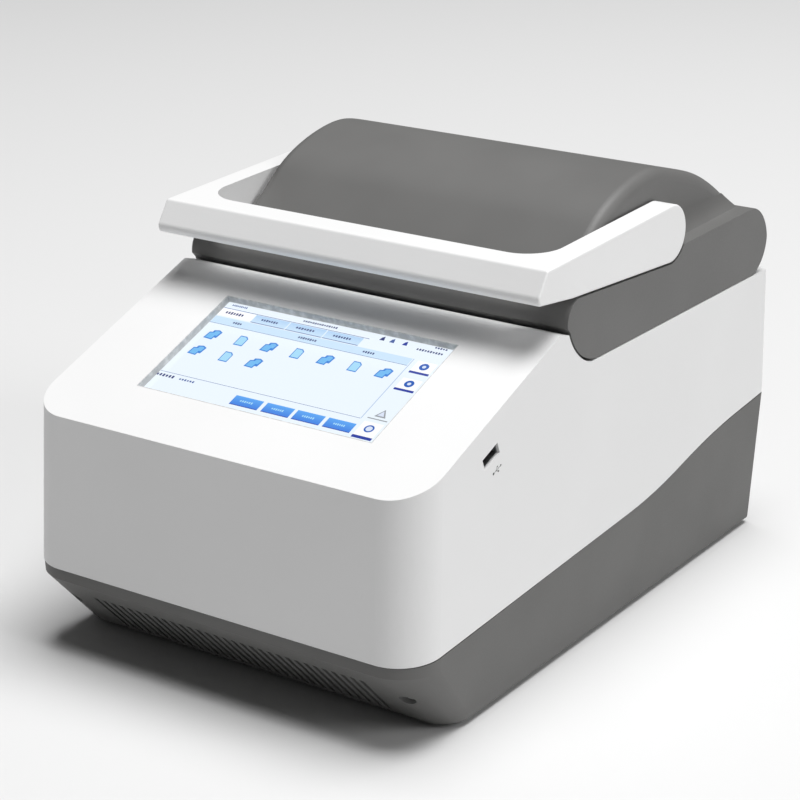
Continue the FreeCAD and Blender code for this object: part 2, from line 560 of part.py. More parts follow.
def tilted(shape):
    shape = shape.copy()
    shape.rotate(V(0, 0, 0), V(1, 0, 0), deckAngle)
    shape.translate(V(0, usbY, usbZ))
    return shape


usbFace = coverHalf(usbZ) - 1.2
usbShell = box(usbFace - 15, usbFace, -7.4, 7.4, -3.05, 3.05).cut(
    box(usbFace - 14, usbFace + 1, -6.9, 6.9, -2.55, 2.55))
save(tilted(usbShell), "usb_shell")
save(tilted(box(usbFace - 13.9, usbFace - 2, -6.0, 6.0, 0.1, 2.0)), "usb_tongue")

# ---- lid ---------------------------------------------------------------------------------
lowCentreZ = lidBottom + noseLowR
noseFront = onCircle(noseY, noseZ, noseR, 186.0)
lowStart = onCircle(noseLowY, lowCentreZ, noseLowR, 201.0)
slabEdges = [
    line((noseLowY, lidBottom), (hingeY, lidBottom)),
    arc((hingeY, lidBottom), onCircle(hingeY, hingeZ, slabRearR, -45.0), (hingeY + slabRearR, hingeZ)),
    arc((hingeY + slabRearR, hingeZ), (hingeY + 14.6, hingeZ + 13.6), (hingeY + 1.0, slabTopRear + 0.2)),
    line((hingeY + 1.0, slabTopRear + 0.2), (noseY, slabTopFront)),
    arc((noseY, slabTopFront), onCircle(noseY, noseZ, noseR, 135.0), noseFront),
    line(noseFront, lowStart),
    arc(lowStart, onCircle(noseLowY, lowCentreZ, noseLowR, 235.0), (noseLowY, lidBottom)),
]
slab = sideProfile(slabEdges, lidHalf)


def humpForm(half, inset, foot, edge=0.0):
    """The raised back of the lid: a smooth spine over the block, drawn down to height foot."""
    spine = []
    for i, (y, z) in enumerate(humpSpine):
        before, after = humpSpine[max(i - 1, 0)], humpSpine[min(i + 1, len(humpSpine) - 1)]
        run, rise = after[0] - before[0], after[1] - before[1]
        span = math.hypot(run, rise)
        spine.append((y + inset * rise / span, z - inset * run / span))
    curve = Part.BSplineCurve()
    curve.interpolate([V(0, y, z) for y, z in spine])
    first, last = spine[0], spine[-1]
    wire = Part.Wire([curve.toShape(), line(last, (last[0], foot)), line((last[0], foot), (first[0], foot)),
                      line((first[0], foot), first)])
    face = Part.Face(wire)
    face.translate(V(-half, 0, 0))
    body = face.extrude(V(2 * half, 0, 0))
    if edge:
        spineEdges = [e for e in body.Edges if e.BoundBox.ZMax > 250.0 and e.BoundBox.XLength < 1.0]
        body = body.makeFillet(edge, spineEdges)
    return body


hump = humpForm(humpHalf, 0.0, 206.0, humpEdge)
flareTopZ = slabTopFront + humpFlare - 1.0
flares = []
for sx in (-1, 1):
    a, b = V(sx * (humpHalf - 2), 0, flareTopZ), V(sx * humpHalf, 0, flareTopZ)
    c = V(sx * (humpHalf + humpFlare), 0, flareTopZ - humpFlare)
    m = V(sx * (humpHalf + humpFlare * (1 - math.sqrt(0.5))), 0, flareTopZ - humpFlare * math.sqrt(0.5))
    d, e = V(c.x, 0, 205.0), V(a.x, 0, 205.0)
    edges = [Part.LineSegment(a, b).toShape(), Part.Arc(b, m, c).toShape(), Part.LineSegment(c, d).toShape(),
             Part.LineSegment(d, e).toShape(), Part.LineSegment(e, a).toShape()]
    face = Part.Face(Part.Wire(edges))
    face.translate(V(0, humpSpine[0][0], 0))
    flares.append(face.extrude(V(0, humpSpine[-1][0] - humpSpine[0][0], 0)))
envelope = humpForm(lidHalf, 2.4, 200.0)
flares = [f.common(envelope) for f in flares]
lidOuter = slab.fuse([hump] + flares).removeSplitter()

# The handle: side outline of its arms and bar, each bar corner with its rounding.
barCorners = [((-69.1, 235.1), 2.4), ((-78.6, 220.6), 4.2), ((-76.4, 217.0), 1.5)]
armKnee = (-41.5, 212.8)


def turnAt(before, corner, after, radius):
    """Start, middle and end of the arc that rounds a corner of an outline."""
    c = V(0, *corner)
    back, ahead = (V(0, *before) - c).normalize(), (V(0, *after) - c).normalize()
    half = back.getAngle(ahead) / 2
    along = radius / math.tan(half)
    inward = (back + ahead).normalize()
    middle = c + inward * (radius / math.sin(half) - radius)
    return [(p.y, p.z) for p in (c + back * along, middle, c + ahead * along)]


def handleSide(grow):
    cy, cz, r = pivotY, pivotZ, armEndR + grow
    top, lip, low = [(y - (grow if z < armKnee[1] + 15.0 else 0.0), z + (grow if z > pivotZ else -grow))
                     for (y, z), _ in barCorners]
    knee, topEnd = (armKnee[0], armKnee[1] - grow), (cy - 0.6, cz + r)
    radii = [radius for _, radius in barCorners]
    turns = [turnAt(knee, low, lip, radii[2]), turnAt(low, lip, top, radii[1]), turnAt(lip, top, topEnd, radii[0])]
    edges = [line(topEnd, (cy, cz + r)), arc((cy, cz + r), (cy + r, cz), (cy, cz - r)),
             line((cy, cz - r), knee), line(knee, turns[0][0])]
    for i, turn in enumerate(turns):
        edges.append(arc(*turn))
        edges.append(line(turn[2], turns[i + 1][0] if i < 2 else topEnd))
    return sideProfile(edges, lidHalf + (10.0 if grow else 0.0))


handleGap = 1.0
cavityFrontY = -8.0
cavityHalf = 99.0              # the hollow in the raised back keeps clear of its rounded edges
pocketInner = lidHalf - armThick - handleGap
pocket = handleSide(handleGap).cut(box(-pocketInner, pocketInner, -120, 160, 150, 300))
pocketAbove = box(pocketInner, 150, -120, pivotY, pivotZ - 6, 300)
pockets = group([pocket, pocketAbove, pocketAbove.mirror(V(0, 0, 0), V(1, 0, 0))])
cavityHump = humpForm(cavityHalf, lidWall, 160.0)
cavitySlab = box(-pocketInner + lidWall, pocketInner - lidWall, cavityFrontY, 163.0, 165.0,
                 203.0)
knuckleX = (hingeX - 14.0, hingeX + 14.0)
knuckleBay = both(box(knuckleX[0] - 0.5, knuckleX[1] + 0.5, 150.0, hingeY + 9.5, 165.0, hingeZ + 9.5))
bracketSweep = both(box(hingeX - 5.9, hingeX + 5.9, hingeY - 9.8, 215.0, 160.0, hingeZ + 9.8))
shaftBores = both(rod(90.0, pivotY, pivotZ, shaftR + runGap, 30.0, (1, 0, 0)))
lidShell = lidOuter.cut(pockets.Solids + [cavityHump, cavitySlab] + knuckleBay.Solids
                        + bracketSweep.Solids + shaftBores.Solids)
linerScrewAt = [(sx * 104.0, y) for sx in (-1, 1) for y in (4.0, 72.0, 142.0)]
lidBosses = [rod(x, y, lidBottom + 2.6, 4.0, 31.0) for x, y in linerScrewAt]
lidShell = lidShell.fuse(lidBosses).cut([rod(x, y, lidBottom, 1.65, 13.0) for x, y in linerScrewAt])
save(lidShell.removeSplitter(), "lid_shell")

linerX2, linerY0, linerY1, linerThick = pocketInner - lidWall - fitGap, cavityFrontY + fitGap, 149.0, 2.5
liner = plate(-linerX2, linerX2, linerY0, linerY1, lidBottom, lidBottom + linerThick, 3.0)
liner = liner.cut(box(-plateX2 - 2, plateX2 + 2, blockY - plateY2 + 0.6, blockY + plateY2 + 2, 160, 180))
tongueHoles = both(box(tongueX - 1.5, tongueX + 1.5, tongueY0, tongueY1, 160, 180)).Solids
liner = liner.cut([rod(x, y, lidBottom - 1, 1.7, 5) for x, y in linerScrewAt] + tongueHoles)
liner = liner.cut([rod(x, y, lidBottom - 1, 2.8, 2.2) for x, y in linerScrewAt])
save(liner, "lid_liner")

# ---- handle ---------------------------------------------------------------------------------
grip = handleSide(0.0)
armInner = lidHalf - armThick
inner = plate(-armInner, armInner, barRearY, barRearY + 400.0, 150.0, 300.0, barCorner)
grip = grip.cut([inner, both(rod(armInner - 1, pivotY, pivotZ, shaftR, 11.7, (1, 0, 0)))])
outerEdges = [e for e in grip.Edges if max(abs(e.BoundBox.XMin), abs(e.BoundBox.XMax)) > lidHalf - 0.1]
grip = grip.makeFillet(handleEdge, outerEdges)
save(grip, "handle_bail")
camX0, camX1 = 92.0, 97.6
save(both(rod(camX0 - 0.5, pivotY, pivotZ, shaftR, armInner + 10.0 - camX0, (1, 0, 0))), "handle_shafts")
camTilt = math.radians(20.0)
camY, camZ = pivotY - camThrow * math.cos(camTilt), pivotZ - camThrow * math.sin(camTilt)
cam = rod(camX0, camY, camZ, camR, camX1 - camX0, (1, 0, 0))
cam = cam.fuse(rod(camX0, pivotY, pivotZ, 7.0, camX1 - camX0, (1, 0, 0))).removeSplitter()
save(both(cam.cut(rod(camX0 - 1, pivotY, pivotZ, shaftR, 12.0, (1, 0, 0)))), "pressure_cams")

# ---- heated plate and its suspension -----------------------------------------------------------
plateTop = plateBottom + plateThick
heated = plate(-plateX2, plateX2, blockY - plateY2 + 2.4, blockY + plateY2, plateBottom, plateTop, 4.0)
pocketsInPlate = plate(-52.0, 52.0, blockY - 34.0, blockY + 34.0, plateBottom - 1, plateBottom + 0.8, 3.0)
save(heated.cut(pocketsInPlate), "heated_plate")
save(plate(-60, 60, blockY - 38, blockY + 38, plateTop + 0.05, plateTop + 0.8, 3.0), "plate_heater")
postAt = [(sx * postX, blockY + sy * postY) for sx in (-1, 1) for sy in (-1, 1)]
carrier = plate(-90.6, 90.6, blockY - 40, blockY + 40, carrierZ, carrierZ + 3.0, 4.0)
carrier = carrier.fuse([rod(sx * 58.0, blockY + sy * 34.0, plateTop + 0.9, 4.0, carrierZ - plateTop)
                        for sx in (-1, 1) for sy in (-1, 1)])
earZ = camZ + camR + 0.4
for sx in (-1, 1):
    x0, x1 = sorted((sx * 88.6, sx * 90.6))
    ear0, ear1 = sorted((sx * 88.6, sx * 97.6))
    carrier = carrier.fuse([box(x0, x1, camY - 9, camY + 9, carrierZ, earZ + 2.2),
                            box(ear0, ear1, camY - 9, camY + 9, earZ, earZ + 2.2)])
carrier = carrier.cut([rod(x, y, carrierZ - 2, postR + runGap, 8) for x, y in postAt])
save(carrier.removeSplitter(), "plate_carrier")

crossFrame = plate(-88.0, 88.0, blockY - 40, blockY + 40, frameZ, frameZ + 3.0, 4.0)
crossFrame = crossFrame.cut(plate(-60, 60, blockY - 26, blockY + 26, frameZ - 1, frameZ + 4, 4.0))
crossFrame = crossFrame.cut([rod(x, y, frameZ - 1, postR, 5) for x, y in postAt])
save(crossFrame, "spring_frame")
save(group([rod(x, y, lidBottom + linerThick, postR, frameZ + 3.0 - lidBottom - linerThick)
            for x, y in postAt]), "guide_posts")
springWire, springR = 0.7, 4.6
springLow, springHigh = carrierZ + 3.0 + springWire + 0.05, frameZ - springWire - 0.05
springs = []
for x, y in postAt:
    turns = 7
    helix = Part.makeHelix((springHigh - springLow) / turns, springHigh - springLow, springR)
    start = Part.Wire(Part.makeCircle(springWire, V(springR, 0, 0), V(0, 1, 0)))
    coil = Part.Wire(helix).makePipeShell([start], True, True)
    coil.translate(V(x, y, springLow))
    springs.append(coil)
save(group(springs), "pressure_springs")

# ---- hinge ---------------------------------------------------------------------------------------
cheek = box(hingeX - 5.5, hingeX + 5.5, hingeY - 9.0, hingeY + 9.0, 162.0, hingeZ)
cheek = cheek.fuse(rod(hingeX - 5.5, hingeY, hingeZ, 9.0, 11.0, (1, 0, 0)))
pad = box(hingeX - 18, hingeX + 18, hingeY - 16, hingeY + 16, topZ - wall - 3.6, topZ - wall - 0.1)
cheek = cheek.fuse(pad).cut(rod(hingeX - 8, hingeY, hingeZ, hingePinR, 16, (1, 0, 0)))
save(both(cheek.removeSplitter()), "hinge_brackets")
save(both(rod(knuckleX[0], hingeY, hingeZ, hingePinR, 28.0, (1, 0, 0))), "hinge_pins")
knuckles = []
for x0, x1 in ((knuckleX[0], hingeX - 6.2), (hingeX + 6.2, knuckleX[1])):
    ear = box(x0, x1, hingeY - 9.0, hingeY + 9.0, 175.6, hingeZ).fuse(
        rod(x0, hingeY, hingeZ, 9.0, x1 - x0, (1, 0, 0)))
    ear = ear.fuse(box(x0, x1, hingeY - 34.0, hingeY, lidBottom + linerThick + 0.1, lidBottom + linerThick + 5.0))
    knuckles.append(ear.cut(rod(x0 - 1, hingeY, hingeZ, hingePinR + runGap, 12.0, (1, 0, 0))))
save(group([both(k.removeSplitter()) for k in knuckles]), "lid_knuckles")
save(group([screw(x, y, lidBottom + 1.2, (0, 0, 1), 1.6, 8.0, 2.6, 1.0) for x, y in linerScrewAt]),
     "liner_screws")

# ---- catches --------------------------------------------------------------------------------------
tongue = box(tongueX - 1.5, tongueX + 1.5, tongueY0, tongueY1, 160.5, lidBottom + linerThick)
tongue = tongue.fuse(box(tongueX - 6.0, tongueX + 1.5, tongueY0, tongueY1, lidBottom + linerThick,
                         lidBottom + linerThick + 1.5))
save(both(tongue.cut(rod(tongueX - 3, tongueY0 + 4.0, 164.5, 1.5, 6, (1, 0, 0))).removeSplitter()), "catch_tongues")
receiver = box(tongueX - 6.0, tongueX + 11.0, tongueY0 - 7, tongueY1 + 5, 156.0, topZ - wall - 0.1)
receiver = receiver.cut([box(tongueX - 2.6, tongueX + 2.6, tongueY0 - 4.0, tongueY1 + 2.0, 158.5, 180),
                         rod(tongueX + 1.0, tongueY0 + 4.0, 164.5, 2.6, 11, (1, 0, 0))])
save(both(receiver), "catch_receivers")
ball = Part.makeSphere(2.5, V(tongueX + 1.5 + 2.5 + fitGap, tongueY0 + 4.0, 164.5))
save(both(ball), "catch_balls")
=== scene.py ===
import json
import math
import bmesh
import bpy
from mathutils import Matrix, Vector


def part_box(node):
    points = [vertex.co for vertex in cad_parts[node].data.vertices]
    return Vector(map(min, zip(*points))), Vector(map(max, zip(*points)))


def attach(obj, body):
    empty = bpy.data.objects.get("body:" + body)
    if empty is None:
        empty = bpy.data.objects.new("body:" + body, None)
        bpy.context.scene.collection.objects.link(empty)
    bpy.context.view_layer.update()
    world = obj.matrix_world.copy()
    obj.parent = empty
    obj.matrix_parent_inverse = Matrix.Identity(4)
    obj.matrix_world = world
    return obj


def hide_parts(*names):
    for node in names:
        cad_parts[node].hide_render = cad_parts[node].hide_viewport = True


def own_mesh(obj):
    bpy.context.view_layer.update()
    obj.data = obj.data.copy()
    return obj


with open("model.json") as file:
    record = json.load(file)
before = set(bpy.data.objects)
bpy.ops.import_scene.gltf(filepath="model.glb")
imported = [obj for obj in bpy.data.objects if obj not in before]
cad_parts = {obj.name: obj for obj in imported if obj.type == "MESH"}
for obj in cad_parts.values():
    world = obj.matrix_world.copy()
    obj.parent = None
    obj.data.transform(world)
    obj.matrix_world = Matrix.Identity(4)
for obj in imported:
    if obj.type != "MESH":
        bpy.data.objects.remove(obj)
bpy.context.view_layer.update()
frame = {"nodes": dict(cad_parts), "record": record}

mm = 0.001  # sizes below are in millimetres where a name or note says so
nodes = frame["nodes"]
record = frame["record"]


def meshPiece(name, mesh, material, body):
    mesh.name = name
    piece = bpy.data.objects.new(name, mesh)
    bpy.context.scene.collection.objects.link(piece)
    mesh.materials.clear()
    mesh.materials.append(material)
    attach(piece, body)
    return piece


# ---- camera, light and floor
cameraLook = dict(
    place=(0.73674, -1.10492, 0.59276), yaw=34.102, pitch=19.738, roll=0.196,
    lens=107.0, sensor=36.0, near=0.05, far=30.0,
)


def makeCamera(look):
    yaw, pitch, roll = (math.radians(look[k]) for k in ("yaw", "pitch", "roll"))
    ahead = Vector((-math.sin(yaw) * math.cos(pitch), math.cos(yaw) * math.cos(pitch), -math.sin(pitch)))
    level = Vector((math.cos(yaw), math.sin(yaw), 0))
    rise = level.cross(ahead)
    right = level * math.cos(roll) + rise * math.sin(roll)
    up = rise * math.cos(roll) - level * math.sin(roll)
    data = bpy.data.cameras.new("studioCamera")
    data.lens = look["lens"]
    data.sensor_width = look["sensor"]
    data.clip_start, data.clip_end = look["near"], look["far"]
    camera = bpy.data.objects.new("studioCamera", data)
    turn = Matrix((right, up, -ahead)).transposed().to_4x4()
    camera.matrix_world = Matrix.Translation(look["place"]) @ turn
    bpy.context.scene.collection.objects.link(camera)
    bpy.context.scene.camera = camera


lightLook = dict(
    top=dict(place=(0.6, 0.35, 5.2), aim=(0, 0, 0.12), size=3.2, power=346),
    side=dict(place=(5.1, 0.8, 2.9), aim=(0, 0, 0.12), size=2.6, power=95),
)
worldLook = dict(colour=(1.0, 1.0, 1.0), strength=0.08)


def makeLights(lamps, surround):
    for name, one in lamps.items():
        data = bpy.data.lights.new(name + "Light", "AREA")
        data.shape, data.size, data.energy = "SQUARE", one["size"], one["power"]
        lamp = bpy.data.objects.new(name + "Light", data)
        aim = Vector(one["aim"]) - Vector(one["place"])
        turn = aim.to_track_quat("-Z", "Y").to_matrix().to_4x4()
        lamp.matrix_world = Matrix.Translation(one["place"]) @ turn
        bpy.context.scene.collection.objects.link(lamp)
    world = bpy.data.worlds.new("studioWorld")
    world.use_nodes = True
    background = world.node_tree.nodes["Background"]
    background.inputs["Color"].default_value = (*surround["colour"], 1)
    background.inputs["Strength"].default_value = surround["strength"]
    bpy.context.scene.world = world
    bpy.context.scene.view_settings.view_transform = "Standard"


floorLook = dict(half=9.0, colour=(0.69, 0.69, 0.69), rough=0.8)


def makeFloor(look):
    half = look["half"]
    corners = [(-half, -half, 0), (half, -half, 0), (half, half, 0), (-half, half, 0)]
    mesh = bpy.data.meshes.new("studioFloor")
    mesh.from_pydata(corners, [], [(0, 1, 2, 3)])
    floor = bpy.data.objects.new("studioFloor", mesh)
    bpy.context.scene.collection.objects.link(floor)
    material = bpy.data.materials.new("paleFloor")
    material.use_nodes = True
    shader = material.node_tree.nodes["Principled BSDF"]
    shader.inputs["Base Color"].default_value = (*look["colour"], 1)
    shader.inputs["Roughness"].default_value = look["rough"]
    mesh.materials.append(material)


makeCamera(cameraLook)
makeLights(lightLook, worldLook)
makeFloor(floorLook)
print("stage: camera, lights and floor")


# ---- materials: each is built from noise, grain and wear on Object coordinates
noiseBand = (0.3, 0.7)  # most of a noise texture's values lie between these


class Finish:
    def __init__(self, name):
        self.material = bpy.data.materials.new(name)
        self.material.use_nodes = True
        self.tree = self.material.node_tree
        self.shader = self.tree.nodes["Principled BSDF"]
        self.coords = self.tree.nodes.new("ShaderNodeTexCoord").outputs["Object"]

    def feed(self, socket, value):
        if isinstance(value, bpy.types.NodeSocket):
            self.tree.links.new(value, socket)
        else:
            socket.default_value = value

    def node(self, kind, **inputs):
        made = self.tree.nodes.new(kind)
        for key, value in inputs.items():
            self.feed(made.inputs[key.replace("_", " ")], value)
        return made

    def link(self, output, socketName):
        self.tree.links.new(output, self.shader.inputs[socketName])

    def fix(self, **values):
        for key, value in values.items():
            self.shader.inputs[key.replace("_", " ")].default_value = value

    def stretched(self, scale):
        return self.node("ShaderNodeMapping", Vector=self.coords, Scale=scale).outputs["Vector"]

    def noise(self, scale, detail=3.0, vector=None):
        made = self.node("ShaderNodeTexNoise", Vector=vector or self.coords, Scale=scale, Detail=detail)
        return made.outputs["Fac"]

    def ramp(self, factor, low, high, lowAt=0.35, highAt=0.65):
        made = self.node("ShaderNodeValToRGB", Fac=factor)
        first, last = made.color_ramp.elements
        first.position, last.position = lowAt, highAt
        first.color, last.color = (*low, 1), (*high, 1)
        return made.outputs["Color"]

    def between(self, factor, low, high):
        made = self.node("ShaderNodeMapRange", Value=factor, From_Min=noiseBand[0], From_Max=noiseBand[1],
                         To_Min=low, To_Max=high)
        return made.outputs["Result"]

    def roughness(self, factor, middle, drift):
        self.link(self.between(factor, middle - drift, middle + drift), "Roughness")

    def bump(self, height, strength, distance, normal=None):
        made = self.node("ShaderNodeBump", Height=height, Strength=strength, Distance=distance)
        if normal is not None:
            self.tree.links.new(normal, made.inputs["Normal"])
        return made.outputs["Normal"]

    def multiply(self, factor, first, second):
        made = self.tree.nodes.new("ShaderNodeMix")
        made.data_type, made.blend_type = "RGBA", "MULTIPLY"
        for name, value in (("Factor", factor), ("A", first), ("B", second)):
            self.feed(made.inputs[name], value)
        return made.outputs["Result"]


def shade(colour, factor):
    return tuple(min(1.0, c * factor) for c in colour)


mouldGrain = dict(detail=2.0, pitScale=0.6, pitShare=0.6, ior=1.48, coatRough=0.25)


def mouldedPlastic(name, look):
    # tone drifts slowly over the wall, a fine spark-eroded grain breaks up the gloss
    made = Finish(name)
    colour, drift, deep = look["colour"], look["drift"], look["grainDeep"]
    slow = made.noise(look["driftScale"], mouldGrain["detail"])
    made.link(made.ramp(slow, shade(colour, 1 - drift), shade(colour, 1 + drift)), "Base Color")
    grain = made.noise(look["grainScale"], mouldGrain["detail"])
    made.roughness(grain, look["rough"], look["roughDrift"])
    pitScale = look["grainScale"] * mouldGrain["pitScale"]
    pits = made.node("ShaderNodeTexVoronoi", Vector=made.coords, Scale=pitScale).outputs["Distance"]
    grained = made.bump(grain, look["grain"], deep)
    made.link(made.bump(pits, look["grain"] * mouldGrain["pitShare"], deep, grained), "Normal")
    made.fix(IOR=mouldGrain["ior"], Coat_Weight=look.get("coat", 0.0), Coat_Roughness=mouldGrain["coatRough"])
    return made.material


plateWear = dict(streakDetail=4.0, dark=0.86, bright=1.1, cloudScale=60.0, haze=0.93, roughDrift=0.08,
                 scratch=0.25, scratchDeep=0.00002)


def platedSteel(name, look):
    # rolled sheet: long streaks one way, cloudy zinc tone
    made = Finish(name)
    streak = made.noise(look["streakScale"], plateWear["streakDetail"], made.stretched(look["stretch"]))
    dark, bright = (shade(look["colour"], plateWear[k]) for k in ("dark", "bright"))
    tone = made.ramp(streak, dark, bright, *noiseBand)
    haze = made.ramp(made.noise(plateWear["cloudScale"]), (plateWear["haze"],) * 3, (1.0, 1.0, 1.0))
    made.link(made.multiply(1.0, tone, haze), "Base Color")
    made.roughness(streak, look["rough"], plateWear["roughDrift"])
    made.link(made.bump(streak, plateWear["scratch"], plateWear["scratchDeep"]), "Normal")
    made.fix(Metallic=1.0)
    return made.material


rubberWear = dict(dustScale=220.0, dustDetail=4.0, dusty=1.5, dustBand=(0.45, 0.75), roughDrift=0.06,
                  grainScale=1800.0, grainDetail=2.0, grain=0.3, grainDeep=0.00006, ior=1.5)


def softRubber(name, look):
    # matt, with pale dust caught in its fine grain
    made = Finish(name)
    dust = made.noise(rubberWear["dustScale"], rubberWear["dustDetail"])
    dusty = shade(look["colour"], rubberWear["dusty"])
    made.link(made.ramp(dust, look["colour"], dusty, *rubberWear["dustBand"]), "Base Color")
    made.roughness(dust, look["rough"], rubberWear["roughDrift"])
    grain = made.noise(rubberWear["grainScale"], rubberWear["grainDetail"])
    made.link(made.bump(grain, rubberWear["grain"], rubberWear["grainDeep"]), "Normal")
    made.fix(IOR=rubberWear["ior"])
    return made.material


def solderMask(name, look):
    # laminate with copper tracks showing faintly through the green
    made = Finish(name)
    tracks = made.node("ShaderNodeTexBrick", Vector=made.coords, Scale=look["trackScale"],
                       Mortar_Size=look["trackWide"], Color1=(*look["colour"], 1),
                       Color2=(*shade(look["colour"], look["patch"]), 1), Mortar=(*look["track"], 1))
    made.link(tracks.outputs["Color"], "Base Color")
    made.link(made.bump(tracks.outputs["Fac"], look["relief"], look["reliefDeep"]), "Normal")
    made.link(made.between(made.noise(look["glossScale"]), *look["roughBand"]), "Roughness")
    return made.material


def ceramicPlate(name, look):
    # fired alumina with a fine speck
    made = Finish(name)
    speck = made.noise(look["speckScale"], look["speckDetail"])
    specked = made.ramp(speck, shade(look["colour"], look["dark"]), look["colour"], *look["speckBand"])
    made.link(specked, "Base Color")
    made.link(made.between(speck, *look["roughBand"]), "Roughness")
    made.link(made.bump(speck, look["relief"], look["reliefDeep"]), "Normal")
    return made.material


def heaterFoil(name, look):
    # amber film with the etched heater path under it
    made = Finish(name)
    wave = made.node("ShaderNodeTexWave", Vector=made.coords, Scale=look["pathScale"],
                     Distortion=look["wander"]).outputs["Fac"]
    dark = shade(look["colour"], look["dark"])
    made.link(made.ramp(wave, look["colour"], dark, *look["pathBand"]), "Base Color")
    made.link(made.between(made.noise(look["glossScale"]), *look["roughBand"]), "Roughness")
    made.fix(Coat_Weight=look["coat"], Coat_Roughness=look["coatRough"])
    return made.material


darkGlass = dict(Base_Color=(0.02, 0.02, 0.025, 1), Roughness=0.12)


def screenSheet(name, look):
    # the lit sheet: a white base whose light falls off very slightly in slow patches
    made = Finish(name)
    glow = made.noise(look["patchScale"], look["patchDetail"])
    made.link(made.ramp(glow, look["edge"], look["colour"], *look["patchBand"]), "Emission Color")
    made.fix(Emission_Strength=look["light"], **darkGlass)
    return made.material


def screenPrint(name, look):
    # what the display shows: colours from the piece's own attribute, broken up by the panel's fine raster
    made = Finish(name)
    tint = made.tree.nodes.new("ShaderNodeVertexColor")
    tint.layer_name = "tint"
    raster = made.node("ShaderNodeTexChecker", Vector=made.coords, Scale=look["rasterScale"]).outputs["Fac"]
    darker = made.between(raster, 0.0, look["raster"])
    made.link(made.multiply(darker, tint.outputs["Color"], look["rasterColour"]), "Emission Color")
    made.fix(Emission_Strength=look["light"], **darkGlass)
    return made.material


plasticLooks = dict(
    white=dict(colour=(0.80, 0.80, 0.80), drift=0.012, driftScale=9.0, grainScale=2600.0, grain=0.18,
               grainDeep=0.00004, rough=0.42, roughDrift=0.05, coat=0.05),
    handle=dict(colour=(0.83, 0.83, 0.83), drift=0.010, driftScale=12.0, grainScale=3200.0, grain=0.12,
                grainDeep=0.00003, rough=0.36, roughDrift=0.05, coat=0.10),
    tray=dict(colour=(0.135, 0.134, 0.130), drift=0.05, driftScale=16.0, grainScale=1900.0, grain=0.35,
              grainDeep=0.00007, rough=0.58, roughDrift=0.06),
    lid=dict(colour=(0.136, 0.135, 0.132), drift=0.05, driftScale=14.0, grainScale=2100.0, grain=0.30,
             grainDeep=0.00006, rough=0.52, roughDrift=0.06),
    black=dict(colour=(0.022, 0.022, 0.023), drift=0.12, driftScale=40.0, grainScale=2400.0, grain=0.25,
               grainDeep=0.00005, rough=0.46, roughDrift=0.06),
)
materials = {
    "white_plastic": mouldedPlastic("whiteHousing", plasticLooks["white"]),
    "handle_plastic": mouldedPlastic("whiteHandle", plasticLooks["handle"]),
    "dark_plastic": mouldedPlastic("greyTray", plasticLooks["tray"]),
    "lid_plastic": mouldedPlastic("greyLid", plasticLooks["lid"]),
    "black_plastic": mouldedPlastic("blackMoulding", plasticLooks["black"]),
    "steel": platedSteel("zincSteel", dict(
        colour=(0.60, 0.61, 0.62), streakScale=90.0, stretch=(0.3, 6.0, 6.0), rough=0.36)),
    "aluminium": platedSteel("milledAluminium", dict(
        colour=(0.80, 0.81, 0.82), streakScale=140.0, stretch=(8.0, 0.4, 1.0), rough=0.30)),
    "contact_brass": platedSteel("platedBrass", dict(
        colour=(0.80, 0.62, 0.28), streakScale=200.0, stretch=(1.0, 6.0, 1.0), rough=0.28)),
    "rubber": softRubber("blackRubber", dict(colour=(0.025, 0.025, 0.025), rough=0.75)),
    "silicone": softRubber("greySilicone", dict(colour=(0.30, 0.31, 0.31), rough=0.6)),
    "lip": softRubber("paleSilicone", dict(colour=(0.50, 0.51, 0.51), rough=0.6)),
    "ceramic": ceramicPlate("alumina", dict(
        colour=(0.86, 0.86, 0.84), dark=0.94, speckScale=900.0, speckDetail=5.0, speckBand=(0.4, 0.6),
        roughBand=(0.5, 0.62), relief=0.2, reliefDeep=0.00003)),
    "circuit": solderMask("greenLaminate", dict(
        colour=(0.012, 0.11, 0.045), patch=1.25, track=(0.03, 0.20, 0.08), trackScale=260.0, trackWide=0.06,
        relief=0.35, reliefDeep=0.00005, glossScale=400.0, roughBand=(0.28, 0.4))),
    "foil": heaterFoil("amberFoil", dict(
        colour=(0.55, 0.25, 0.04), dark=0.45, pathScale=180.0, wander=0.4, pathBand=(0.45, 0.6),
        glossScale=300.0, roughBand=(0.2, 0.32), coat=0.4, coatRough=0.08)),
    "screen_glass": screenSheet("litSheet", dict(
        colour=(0.88, 0.94, 1.0), edge=(0.84, 0.91, 0.99), light=0.95, patchScale=14.0, patchDetail=1.0,
        patchBand=(0.2, 0.6))),
    "screenPrint": screenPrint("displayRaster", dict(
        rasterScale=4000.0, raster=0.25, rasterColour=(0.9, 0.9, 0.92, 1), light=1.0)),
}
for part in record["subparts"]:
    carried = nodes[part["node"]]
    for holder in carried.material_slots:
        holder.material = materials[part["material_slot"]]
print("materials on", len(record["subparts"]), "carried-over parts")


# ---- the deck's plane, read off the touch glass
def deckPlane(flat=0.05 * mm):
    mesh = nodes["touch_glass"].data
    up = max((f for f in mesh.polygons if f.normal.z > 0.5), key=lambda f: f.area).normal.copy()
    top = max(v.co.dot(up) for v in mesh.vertices)
    face = [v.co for v in mesh.vertices if v.co.dot(up) > top - flat]
    middle = sum(face, Vector()) / len(face)
    middle.x = 0.0
    across = Vector((1, 0, 0))
    return Matrix((across, up.cross(across), up)).transposed().to_4x4(), middle


deckTurn, glassMiddle = deckPlane()
deckPlace = Matrix.Translation(glassMiddle) @ deckTurn
deckAcross, deckSlope, deckUp = (deckTurn.col[i].to_3d() for i in range(3))

# ---- the seal round the display
lipLook = dict(wide=0.45, proud=0.04, corner=0.3, segments=3, clear=0.01,
               probeUp=1.5, beside=4.0, above=30.0)  # where the opening's walls and the deck are felt for


